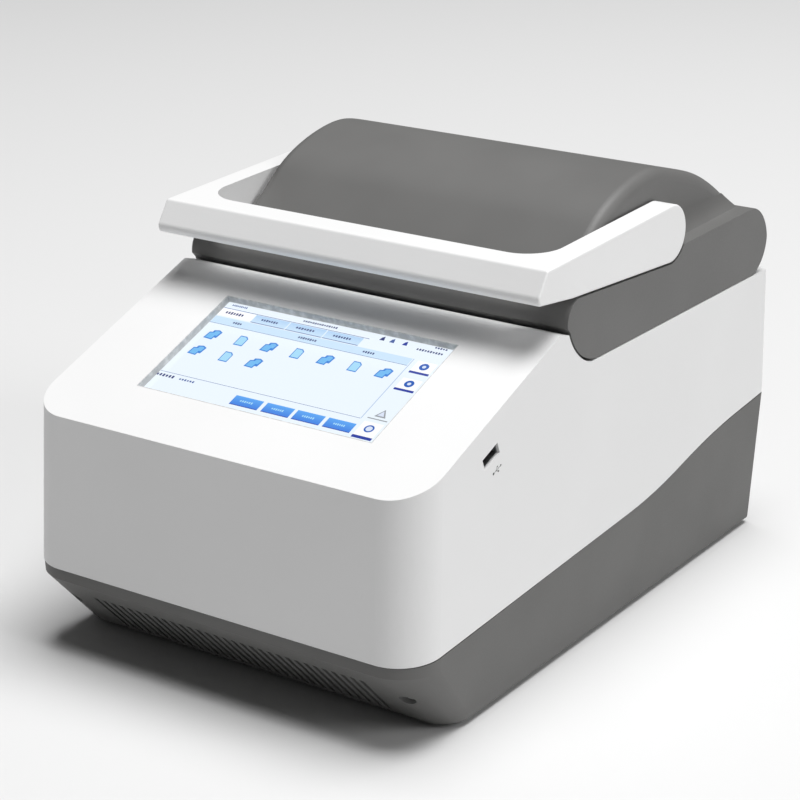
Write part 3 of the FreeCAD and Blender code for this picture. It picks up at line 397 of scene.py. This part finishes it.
def gasketLip(look):
    # the seal's thin lip, up the walls of the display opening to the deck
    cover = nodes["top_cover"]
    start = glassMiddle + deckUp * look["probeUp"] * mm

    def reach(direction):
        return (cover.ray_cast(start, direction)[1] - start).length

    right, left, high, low = reach(deckAcross), -reach(-deckAcross), reach(deckSlope), -reach(-deckSlope)
    above = glassMiddle + deckAcross * (right + look["beside"] * mm) + deckUp * look["above"] * mm
    top = (cover.ray_cast(above, -deckUp)[1] - glassMiddle).dot(deckUp) + look["proud"] * mm
    clear, wide = look["clear"] * mm, look["wide"] * mm
    mesh = bmesh.new()
    rings = []
    for inset, level in ((clear, 0.0), (clear, top), (wide, top), (wide, 0.0)):
        rings.append([mesh.verts.new(glassMiddle + deckAcross * x + deckSlope * y + deckUp * level)
                      for x, y in ((left + inset, low + inset), (right - inset, low + inset),
                                   (right - inset, high - inset), (left + inset, high - inset))])
    for ring, following in zip(rings, rings[1:] + rings[:1]):
        for i in range(4):
            mesh.faces.new((ring[i], ring[(i + 1) % 4], following[(i + 1) % 4], following[i]))
    upright = [e for e in mesh.edges if abs((e.verts[0].co - e.verts[1].co).dot(deckUp)) > top * 0.9]
    bmesh.ops.bevel(mesh, geom=upright, offset=look["corner"] * mm, segments=look["segments"], profile=0.5,
                    affect="EDGES")
    bmesh.ops.recalc_face_normals(mesh, faces=mesh.faces)
    data = bpy.data.meshes.new("gasketLip")
    mesh.to_mesh(data)
    mesh.free()
    meshPiece("gasket_lip", data, materials["lip"], "base")


gasketLip(lipLook)
print("seal lip made")

# ---- what the display shows: blank bars stand where words would be
screenColours = dict(  # each colour is a layer, and later ones lie over earlier ones
    paper=(0.93, 0.97, 1.0), pale=(0.80, 0.90, 0.98), tab=(0.70, 0.83, 0.96), white=(1.0, 1.0, 1.0),
    shade=(0.72, 0.80, 0.90), line=(0.25, 0.36, 0.62), grey=(0.60, 0.62, 0.64), navy=(0.12, 0.22, 0.62),
    button=(0.36, 0.66, 0.96), folderDark=(0.25, 0.52, 0.85), folder=(0.46, 0.74, 0.95),
    page=(0.66, 0.87, 0.98), ring=(0.12, 0.36, 0.72), ringPale=(0.86, 0.90, 0.97),
    ink=(0.16, 0.20, 0.45), buttonLow=(0.24, 0.50, 0.88),
)
screenLook = dict(  # "Drop" is down from the top edge or from the row above, "Up" is up from the low edge
    halfWide=78.4, low=-43.6, high=43.4,  # the lit area, from the glass's middle
    sunk=(-3.7, 4.2),  # the layout stands off this way, as the sheet lies below the deck
    lift=0.04, layer=0.02, edge=0.5, discSides=20, dotSides=12, holeSides=14,
    # title line
    titleDrop=6.0, title=(-71, -60), nameDrop=6.6, name=(-20, 4),
    dateDrop=9.4, date=(58.5, 76.0), clockDrop=5.2, clock=(68.0, 76.5),
    signalDrop=8.6, signals=(34.6, 41.1, 49.6), signal=((-1.6, 0), (1.6, 0), (0.6, 3.6), (-0.9, 2.4)),
    # tabs
    ribbonDrop=9.4, ribbonEnd=27.0, ribbonThick=0.2, tabs=(-76.5, -51.0, -26.6, -1.0, 24.0),
    tabGap=0.3, tabTop=0.5, tabTall=7.0, tabWordsIn=(6.0, 6.5), tabWordsDrop=3.8,
    # list
    headDrop=8.0, headTall=6.2, headRule=0.3, headIn=2.0, headEnd=61.0,
    headWords=((-60.0, 4), (-14.0, 8), (30.0, 5)), letterStep=1.6, wordDrop=3.2,
    iconRows=((9.6, (-65, -44.7, -25.3, -5.7, 13.5, 33.3, 52.3)), (-5.6, (-65.4, -44.6, -25.3))),
    footUp=15.6, footIn=1.0, footEnd=61.5, footThick=0.15, scrollWide=0.6,
    status=((-75, -62, 2.4, "ink"), (-59, -48, 1.6, "line")),
    # buttons
    buttons=((-17.4, 1.5), (4.0, 22.3), (24.4, 42.6), (44.9, 62.6)),
    buttonUp=(3.2, 10.6), buttonRuleUp=(2.7, 3.3), buttonWordsIn=5.0,
    # key column
    column=(65.0, 77.6), columnMiddle=71.4, keyDrops=(9.6, 25.0), keyTall=9.0, keyRule=1.8, keyCentre=0.52,
    keyRing=2.9, keyDot=1.2, warnRuleUp=(17.0, 17.8), warnOuter=((-3.6, 19.4), (3.6, 19.4), (0.0, 26.0)),
    warnInner=((-2.1, 20.3), (2.1, 20.3), (0.0, 24.4)),
    helpUp=(2.8, 14.6), helpRuleUp=(0.6, 2.8), helpRing=(9.2, 3.0, 2.0),
)


def linear(colour):
    return tuple(((c + 0.055) / 1.055) ** 2.4 if c > 0.04045 else c / 12.92 for c in colour)


class Layout:
    # flat shapes gathered into one mesh, each on its colour's own thin layer
    def __init__(self, look, colours):
        self.look, self.colours = look, colours
        self.mesh, self.tints = bmesh.new(), []

    def shape(self, points, colour, lowColour=None):
        look = self.look
        height = (look["lift"] + list(self.colours).index(colour) * look["layer"]) * mm
        shiftX, shiftY = look["sunk"]
        points = [(max(x + shiftX, -look["halfWide"]), min(y + shiftY, look["high"])) for x, y in points]
        self.mesh.faces.new([self.mesh.verts.new((x * mm, y * mm, height)) for x, y in points])
        middle = sum(y for _, y in points) / len(points)
        high, low = (linear(self.colours[name]) for name in (colour, lowColour or colour))
        self.tints.append([high if y >= middle else low for _, y in points])

    def bar(self, x0, x1, y0, y1, colour, lowColour=None):
        self.shape([(x0, y0), (x1, y0), (x1, y1), (x0, y1)], colour, lowColour)

    def rule(self, x0, x1, y, halfThick, colour):
        self.bar(x0, x1, y - halfThick, y + halfThick, colour)

    def disc(self, x, y, radius, colour, sides):
        turn = 2 * math.pi / sides
        rim = [(x + radius * math.cos(turn * i), y + radius * math.sin(turn * i)) for i in range(sides)]
        self.shape(rim, colour)

    def words(self, x0, x1, y, high, colour, letters, inked=0.62):
        # a row of small plain blocks of uneven height, as long as the words would be
        step = (x1 - x0) / letters
        for i in range(letters):
            tall = high * (0.75 + 0.25 * ((i * 7) % 3) / 2)
            self.rule(x0 + i * step, x0 + (i + inked) * step, y, tall / 2, colour)

    def finish(self):
        mesh = bpy.data.meshes.new("screenLayout")
        self.mesh.to_mesh(mesh)
        self.mesh.free()
        tint = mesh.color_attributes.new("tint", "FLOAT_COLOR", "CORNER")
        for face, colours in zip(mesh.polygons, self.tints):
            for corner, colour in zip(face.loop_indices, colours):
                tint.data[corner].color = (*colour, 1)
        mesh.transform(deckPlace)
        return mesh


def drawHeader(page, look):
    # the title line: a title, a name, three signals, the date and the time
    high = look["high"]
    page.words(*look["title"], high - look["titleDrop"], 1.6, "line", 9)
    page.words(*look["name"], high - look["nameDrop"], 1.6, "ink", 15)
    base = high - look["signalDrop"]
    for x, colour in zip(look["signals"], ("ink", "line", "navy")):
        page.shape([(x + a, base + b) for a, b in look["signal"]], colour)
    page.words(*look["date"], high - look["dateDrop"], 1.8, "ink", 10)
    page.words(*look["clock"], high - look["clockDrop"], 1.5, "ink", 5)


def drawTabs(page, look, ribbon):
    # the tabs hang under the ribbon, the first of them lifted out in white
    gap, low, tabs = look["tabGap"], ribbon - look["tabTall"], look["tabs"]
    page.rule(-look["halfWide"], look["ribbonEnd"], ribbon, look["ribbonThick"], "line")
    for i, (x0, x1) in enumerate(zip(tabs, tabs[1:])):
        colours = ("tab", "pale") if i else ("white",)
        page.bar(x0 + gap, x1 - gap, low, ribbon - look["tabTop"], *colours)
        start, end = x0 + look["tabWordsIn"][0], x1 - look["tabWordsIn"][1]
        page.words(start, end, ribbon - look["tabWordsDrop"], 1.9 if i else 2.4, "ink", 7)
        if i:
            page.bar(x0 + gap, x1 - gap, low - look["edge"], low, "line")


def drawList(page, look, top):
    # the list's heading, its icons, and the status line under it
    left, foot = -look["halfWide"], look["low"] + look["footUp"]
    start, low = left + look["headIn"], top - look["headTall"]
    page.bar(start, look["headEnd"], low, top, "pale")
    page.bar(start, look["headEnd"], low - look["headRule"], low, "line")
    for x, letters in look["headWords"]:
        page.words(x, x + look["letterStep"] * letters, top - look["wordDrop"], 1.9, "ink", letters)
    for y, places in look["iconRows"]:
        for i, x in enumerate(places):
            (pageIcon if i % 2 else folderIcon)(page, x, y)
    page.rule(left + look["footIn"], look["footEnd"], foot, look["footThick"], "line")
    page.bar(look["footEnd"], look["footEnd"] + look["scrollWide"], foot, top, "shade")
    for x0, x1, tall, colour in look["status"]:
        page.words(x0, x1, foot - look["wordDrop"], tall, colour, 6)


def drawButtons(page, look):
    low = look["low"]
    y0, y1 = (low + rise for rise in look["buttonUp"])
    rule0, rule1 = (low + rise for rise in look["buttonRuleUp"])
    for x0, x1 in look["buttons"]:
        page.bar(x0, x1, y0, y1, "button", "buttonLow")
        page.bar(x0, x1, rule0, rule1, "navy")
        page.words(x0 + look["buttonWordsIn"], x1 - look["buttonWordsIn"], (y0 + y1) / 2, 1.6, "page", 6)


def drawColumn(page, look, top):
    # the keys down the right side: two round ones, a warning triangle and a help ring
    low, middle, wide = look["low"], look["columnMiddle"], look["column"]
    for drop in look["keyDrops"]:
        y0 = top - drop
        centre = y0 + look["keyTall"] * look["keyCentre"]
        page.bar(*wide, y0, y0 + look["keyTall"], "white")
        page.bar(*wide, y0 - look["keyRule"], y0, "navy")
        page.disc(middle, centre, look["keyRing"], "ring", look["discSides"])
        page.disc(middle, centre, look["keyDot"], "ringPale", look["dotSides"])
    page.bar(*wide, *(low + rise for rise in look["warnRuleUp"]), "grey")
    for points, colour in ((look["warnOuter"], "grey"), (look["warnInner"], "ringPale")):
        page.shape([(middle + x, low + y) for x, y in points], colour)
    page.bar(*wide, *(low + rise for rise in look["helpUp"]), "white")
    page.bar(*wide, *(low + rise for rise in look["helpRuleUp"]), "navy")
    rise, outer, inner = look["helpRing"]
    page.disc(middle, low + rise, outer, "ring", look["discSides"])
    page.disc(middle, low + rise, inner, "ringPale", look["holeSides"])


def drawScreen(look, colours):
    page = Layout(look, colours)
    shiftX, shiftY = look["sunk"]
    left, right = -look["halfWide"], look["halfWide"] - shiftX
    low, high = look["low"] - shiftY, look["high"]
    ribbon = high - look["ribbonDrop"]
    listTop = ribbon - look["headDrop"]
    page.bar(left, right, low, high, "paper")
    drawHeader(page, look)
    drawTabs(page, look, ribbon)
    drawList(page, look, listTop)
    drawButtons(page, look)
    drawColumn(page, look, listTop)
    # painted shadow: a dark bar along the low edge and a grey bar along the right edge of the lit area stand
    # in for the shade where the opening's walls meet the display
    page.bar(left, right, low, low + look["edge"], "line")
    page.bar(right - look["edge"], right, low, high, "grey")
    return page.finish()


folderLook = dict(outline=((-3.0, -2.7), (2.4, -3.0), (3.1, 2.0), (0.6, 3.2), (-2.4, 2.5)),
                  sheets=((-1.0, -0.9, "folderDark", 1.12), (1.0, 1.1, "folderDark", 1.12),
                          (-1.0, -0.9, "folder", 0.84), (1.3, 1.6, "folder", 0.66)))
pageLook = dict(outline=((-2.8, -3.7), (2.6, -3.7), (2.6, 2.2), (1.0, 3.8), (-2.8, 3.8)),
                sheets=((0, 0, "folderDark", 1.15), (0, 0, "page", 0.95)))


def drawIcon(page, look, x, y):
    for dx, dy, colour, grow in look["sheets"]:
        page.shape([(x + dx + a * grow, y + dy + b * grow) for a, b in look["outline"]], colour)


def folderIcon(page, x, y):
    drawIcon(page, folderLook, x, y)


def pageIcon(page, x, y):
    drawIcon(page, pageLook, x, y)


screenMesh = drawScreen(screenLook, screenColours)
meshPiece("screen_layout", screenMesh, materials["screenPrint"], "base")
print("display drawn")


def makeSprings():
    coils = nodes["pressure_springs"].data.copy()
    springs = meshPiece("coil_springs", coils, materials["steel"], "lid")
    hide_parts("pressure_springs")
    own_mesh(springs)


makeSprings()
print("springs made")


# ---- small turned and repeated parts
def skin(mesh, rings, sides):
    # faces between neighbouring rings; a ring of one point closes the end
    for low, high in zip(rings, rings[1:]):
        for i in range(sides):
            j = (i + 1) % sides
            corners = [low[i % len(low)], low[j % len(low)], high[j % len(high)], high[i % len(high)]]
            mesh.faces.new(list(dict.fromkeys(corners)))


def lathe(profile, sides):
    # turns (radius, height) points about Z; a radius of nought closes the end
    mesh = bmesh.new()
    turn = 2 * math.pi / sides
    rings = [[mesh.verts.new((radius * math.cos(i * turn), radius * math.sin(i * turn), height))
              for i in range(sides if radius else 1)] for radius, height in profile]
    skin(mesh, rings, sides)
    return mesh


def asObject(name, mesh):
    bmesh.ops.recalc_face_normals(mesh, faces=mesh.faces)
    data = bpy.data.meshes.new(name)
    mesh.to_mesh(data)
    mesh.free()
    made = bpy.data.objects.new(name, data)
    bpy.context.scene.collection.objects.link(made)
    return made


def islands(node):
    # the separate solids of a node, each as a list of points
    mesh = bmesh.new()
    mesh.from_mesh(nodes[node].data)
    bmesh.ops.remove_doubles(mesh, verts=mesh.verts, dist=1e-6)
    found, seen = [], set()
    for first in mesh.verts:
        if first in seen:
            continue
        group, queue = [], [first]
        seen.add(first)
        while queue:
            vert = queue.pop()
            group.append(vert.co.copy())
            for edge in vert.link_edges:
                other = edge.other_vert(vert)
                if other not in seen:
                    seen.add(other)
                    queue.append(other)
        found.append(group)
    mesh.free()
    return found


def endOf(points, facing):
    # middle, radius and level of a round solid's end that faces one way
    side = facing.orthogonal().normalized()
    other = facing.cross(side)
    reaches = [[p.dot(axis) for p in points] for axis in (side, other)]
    spans = [(min(reach), max(reach)) for reach in reaches]
    level = max(p.dot(facing) for p in points)
    middle = side * sum(spans[0]) / 2 + other * sum(spans[1]) / 2 + facing * level
    return middle, (spans[0][1] - spans[0][0]) / 2


def copiesTree():
    # puts one copy at every point, stood along the point's facing and spun at random by its seed
    tree = bpy.data.node_groups.new("standCopies", "GeometryNodeTree")
    tree.interface.new_socket("Geometry", in_out="INPUT", socket_type="NodeSocketGeometry")
    for name, kind in (("Copy", "Object"), ("Finish", "Material"), ("Spin", "Float"), ("Seed", "Int")):
        tree.interface.new_socket(name, in_out="INPUT", socket_type="NodeSocket" + kind)
    tree.interface.new_socket("Geometry", in_out="OUTPUT", socket_type="NodeSocketGeometry")
    add, join = tree.nodes.new, tree.links.new
    given, out = add("NodeGroupInput"), add("NodeGroupOutput")
    facing = add("GeometryNodeInputNamedAttribute")
    facing.data_type = "FLOAT_VECTOR"
    facing.inputs["Name"].default_value = "facing"
    stand = add("FunctionNodeAlignRotationToVector")
    stand.axis = "Z"
    spin = add("FunctionNodeRandomValue")
    turn = add("FunctionNodeAxisAngleToRotation")
    both = add("FunctionNodeRotateRotation")
    both.rotation_space = "LOCAL"
    source = add("GeometryNodeObjectInfo")
    place = add("GeometryNodeInstanceOnPoints")
    real = add("GeometryNodeRealizeInstances")
    paint = add("GeometryNodeSetMaterial")
    join(facing.outputs["Attribute"], stand.inputs["Vector"])
    spinMost = [socket for socket in spin.inputs if socket.enabled and socket.name == "Max"][0]
    join(given.outputs["Spin"], spinMost)
    join(given.outputs["Seed"], spin.inputs["Seed"])
    join([socket for socket in spin.outputs if socket.enabled][0], turn.inputs["Angle"])
    join(stand.outputs["Rotation"], both.inputs["Rotation"])
    join(turn.outputs["Rotation"], both.inputs["Rotate By"])
    join(given.outputs["Copy"], source.inputs["Object"])
    join(given.outputs["Geometry"], place.inputs["Points"])
    join(source.outputs["Geometry"], place.inputs["Instance"])
    join(both.outputs["Rotation"], place.inputs["Rotation"])
    join(place.outputs["Instances"], real.inputs["Geometry"])
    join(real.outputs["Geometry"], paint.inputs["Geometry"])
    join(given.outputs["Finish"], paint.inputs["Material"])
    join(paint.outputs["Geometry"], out.inputs["Geometry"])
    return tree


standCopies = copiesTree()


def scatter(name, copy, places, facings, slotName, body, spin=0.0, seed=1, stands=(), sharp=35):
    # one plain mesh piece out of the copies; sharp is in degrees
    holderMesh = bpy.data.meshes.new(name + "Points")
    holderMesh.from_pydata([tuple(p) for p in places], [], [])
    facing = holderMesh.attributes.new("facing", "FLOAT_VECTOR", "POINT")
    for i, direction in enumerate(facings):
        facing.data[i].vector = direction
    holder = bpy.data.objects.new(name + "Points", holderMesh)
    bpy.context.scene.collection.objects.link(holder)
    modifier = holder.modifiers.new("copies", "NODES")
    modifier.node_group = standCopies
    wanted = dict(Copy=copy, Finish=materials[slotName], Spin=spin, Seed=seed)
    for item in standCopies.interface.items_tree:
        if item.in_out == "INPUT" and item.name in wanted:
            modifier[item.identifier] = wanted[item.name]
    bpy.context.view_layer.update()
    mesh = bpy.data.meshes.new_from_object(holder.evaluated_get(bpy.context.evaluated_depsgraph_get()))
    for gone in (holder, copy):
        data = gone.data
        bpy.data.objects.remove(gone)
        bpy.data.meshes.remove(data)
    for face in mesh.polygons:
        face.use_smooth = True
    mesh.set_sharp_from_angle(angle=math.radians(sharp))
    piece = meshPiece(name, mesh, materials[slotName], body)
    if stands:
        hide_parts(*stands)
    return piece


screwLook = dict(
    rings=16, sides=64, crossWide=0.17, crossFloor=0.8, crossLong=0.62, crossDeep=0.40, tip=0.45,
    dome=0.30, bow=2.6, side=0.9, under=0.96, shank=0.42, shortBy=0.1,
)


def screwCopy(look, radius, high, length):
    # a domed head with a pressed cross recess, its top at nought, and a plain shank under it
    mesh = bmesh.new()
    turn = 2 * math.pi / look["sides"]
    rings = []
    for k in range(look["rings"] + 1):
        share = k / look["rings"]
        ring = []
        for i in range(look["sides"] if k else 1):
            x, y = share * math.cos(turn * i), share * math.sin(turn * i)
            along, aside = max(abs(x), abs(y)), min(abs(x), abs(y))
            pressed = along < look["crossLong"] and aside < look["crossWide"] * look["crossFloor"]
            slope = look["tip"] + (1 - look["tip"]) * max(0.0, 1.0 - along / look["crossLong"])
            z = -look["dome"] * share ** look["bow"] * high - pressed * look["crossDeep"] * high * slope
            ring.append(mesh.verts.new((x * radius, y * radius, z)))
        rings.append(ring)
    shank = radius * look["shank"]
    below = ((radius, -look["side"] * high), (radius * look["under"], -high),
             (shank, -high), (shank, -high - length))
    for reach, z in below:
        rings.append([mesh.verts.new((reach * math.cos(turn * i), reach * math.sin(turn * i), z))
                      for i in range(look["sides"])])
    rings.append([mesh.verts.new((0, 0, -high - length))])
    skin(mesh, rings, look["sides"])
    return asObject("screwCopy", mesh)


def chamferFacing():
    # which way the sloping front of the tray faces
    faces = [f for f in nodes["base_tray"].data.polygons if f.normal.y < -0.5 and f.normal.z < -0.5]
    return max(faces, key=lambda f: f.area).normal.copy()


def replaceScrews(node, body, facing, high, seed):
    solids = islands(node)
    ends = [endOf(points, facing) for points in solids]
    radius = sum(r for _, r in ends) / len(ends)
    levels = [[p.dot(facing) for p in points] for points in solids]
    depth = min(max(level) - min(level) for level in levels)
    copy = screwCopy(screwLook, radius, high * mm, depth - (high + screwLook["shortBy"]) * mm)
    scatter("cross_" + node, copy, [middle for middle, _ in ends], [facing] * len(ends), "steel", body,
            spin=math.pi / 2, seed=seed, stands=(node,))


screwSets = (  # the node, its body, which way the heads face and how high they are
    ("panel_screws", "base", Vector((0, 1, 0)), 2.0),
    ("fan_screws", "base", Vector((0, 1, 0)), 2.2),
    ("case_screws", "base", chamferFacing(), 2.4),
    ("liner_screws", "lid", Vector((0, 0, -1)), 1.0),
    ("block_screws", "base", Vector((0, 0, 1)), 3.0),
)
for seed, (node, body, facing, high) in enumerate(screwSets, 3):
    replaceScrews(node, body, facing, high, seed)
print("screws made")

rimLook = dict(columns=12, rows=8, pitch=9.0, bore=2.75, wide=0.55, high=0.35, corner=0.12, sides=28)


def wellRims(look):
    # a raised bead round the mouth of every well
    low, high = (Vector(v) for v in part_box("sample_block"))
    middle = (low + high) / 2
    inner, outer = look["bore"] * mm, (look["bore"] + look["wide"]) * mm
    rise, corner = look["high"] * mm, look["corner"] * mm
    profile = [(inner, -rise), (inner, rise * 0.5), (inner + corner, rise * 0.85), ((inner + outer) / 2, rise),
               (outer - corner, rise * 0.85), (outer, rise * 0.4), (outer, -rise), (inner, -rise)]
    bead = lathe(profile, look["sides"])
    bmesh.ops.remove_doubles(bead, verts=bead.verts, dist=1e-7)
    copy = asObject("rimCopy", bead)
    columns, rows = ([(i - (look[k] - 1) / 2) * look["pitch"] * mm for i in range(look[k])]
                     for k in ("columns", "rows"))
    places = [Vector((middle.x + x, middle.y + y, high.z)) for x in columns for y in rows]
    scatter("well_rims", copy, places, [Vector((0, 0, 1))] * len(places), "aluminium", "base", seed=11)


wellRims(rimLook)
print("well rims made")

footLook = dict(sides=72, tread=0.35, grooves=4, topShare=0.97, topEdge=0.3, lowEdge=0.8, lowIn=0.7,
                first=1.2, pitchShare=0.19, wall=0.2, wide=1.1)


def treadFeet(look):
    # turned rubber feet with ring grooves in their treads
    ends = [endOf(points, Vector((0, 0, -1))) for points in islands("feet")]
    low, high = (Vector(v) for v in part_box("feet"))
    radius, tall = ends[0][1], high.z - low.z
    wall, wide, tread = (look[k] * mm for k in ("wall", "wide", "tread"))
    profile = [(0, tall), (radius * look["topShare"], tall), (radius, tall - look["topEdge"] * mm),
               (radius, look["lowEdge"] * mm), (radius - look["lowIn"] * mm, 0)]
    for k in range(look["grooves"]):
        edge = radius - look["first"] * mm - k * radius * look["pitchShare"]
        profile += [(edge, 0), (edge - wall, tread), (edge - wide + wall, tread), (edge - wide, 0)]
    profile.append((0, 0))
    copy = asObject("footCopy", lathe(profile, look["sides"]))
    places = [Vector((middle.x, middle.y, low.z)) for middle, _ in ends]
    scatter("tread_feet", copy, places, [Vector((0, 0, 1))] * len(ends), "rubber", "base", seed=5,
            stands=("feet",))


treadFeet(footLook)
print("feet made")

markLook = dict(
    below=10.5, along=2.0, long=7.2, thick=0.32, lift=0.03, sides=16,
    discs=((-3.6, 0, 0.75), (0.9, 1.5, 0.465)),
    arrow=((3.6, -0.8), (4.9, 0), (3.6, 0.8)),
    branches=(((-1.4, 0.16), (-0.9, 0.16), (0.9, 1.5), (0.4, 1.5)),
              ((-0.4, -0.16), (-0.9, -0.16), (0.6, -1.6), (1.1, -1.6))),
    square=((0.5, -2.1), (1.5, -2.1), (1.5, -1.1), (0.5, -1.1)),
)


def socketMark(look):
    # a plain printed mark beside the socket: a line with a dot, a ring, a square and a tip
    cover = nodes["top_cover"]
    low, high = (Vector(v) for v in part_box("usb_shell"))
    middle = (low + high) / 2
    start = Vector((0, middle.y, middle.z)) - deckUp * look["below"] * mm + deckSlope * look["along"] * mm
    inward = Vector((-1, 0, 0))
    outside = high.x + 0.1

    def onWall(point):
        return cover.ray_cast(Vector((outside, point.y, point.z)), inward)[1]

    mesh = bmesh.new()

    def patch(points):
        places = [onWall(start + deckSlope * a * mm + deckUp * b * mm) for a, b in points]
        mesh.faces.new([mesh.verts.new(place - inward * look["lift"] * mm) for place in places])

    half, t = look["long"] / 2, look["thick"] / 2
    turn = 2 * math.pi / look["sides"]
    patch([(-half, -t), (half, -t), (half, t), (-half, t)])
    for x, y, r in look["discs"]:
        patch([(x + r * math.cos(turn * i), y + r * math.sin(turn * i)) for i in range(look["sides"])])
    for points in (*look["branches"], look["arrow"], look["square"]):
        patch(points)
    bmesh.ops.recalc_face_normals(mesh, faces=mesh.faces)
    for face in mesh.faces:
        if face.normal.x < 0:
            face.normal_flip()
    data = bpy.data.meshes.new("socketMark")
    mesh.to_mesh(data)
    mesh.free()
    meshPiece("socket_mark", data, materials["black_plastic"], "base")


socketMark(markLook)
print("socket mark made")
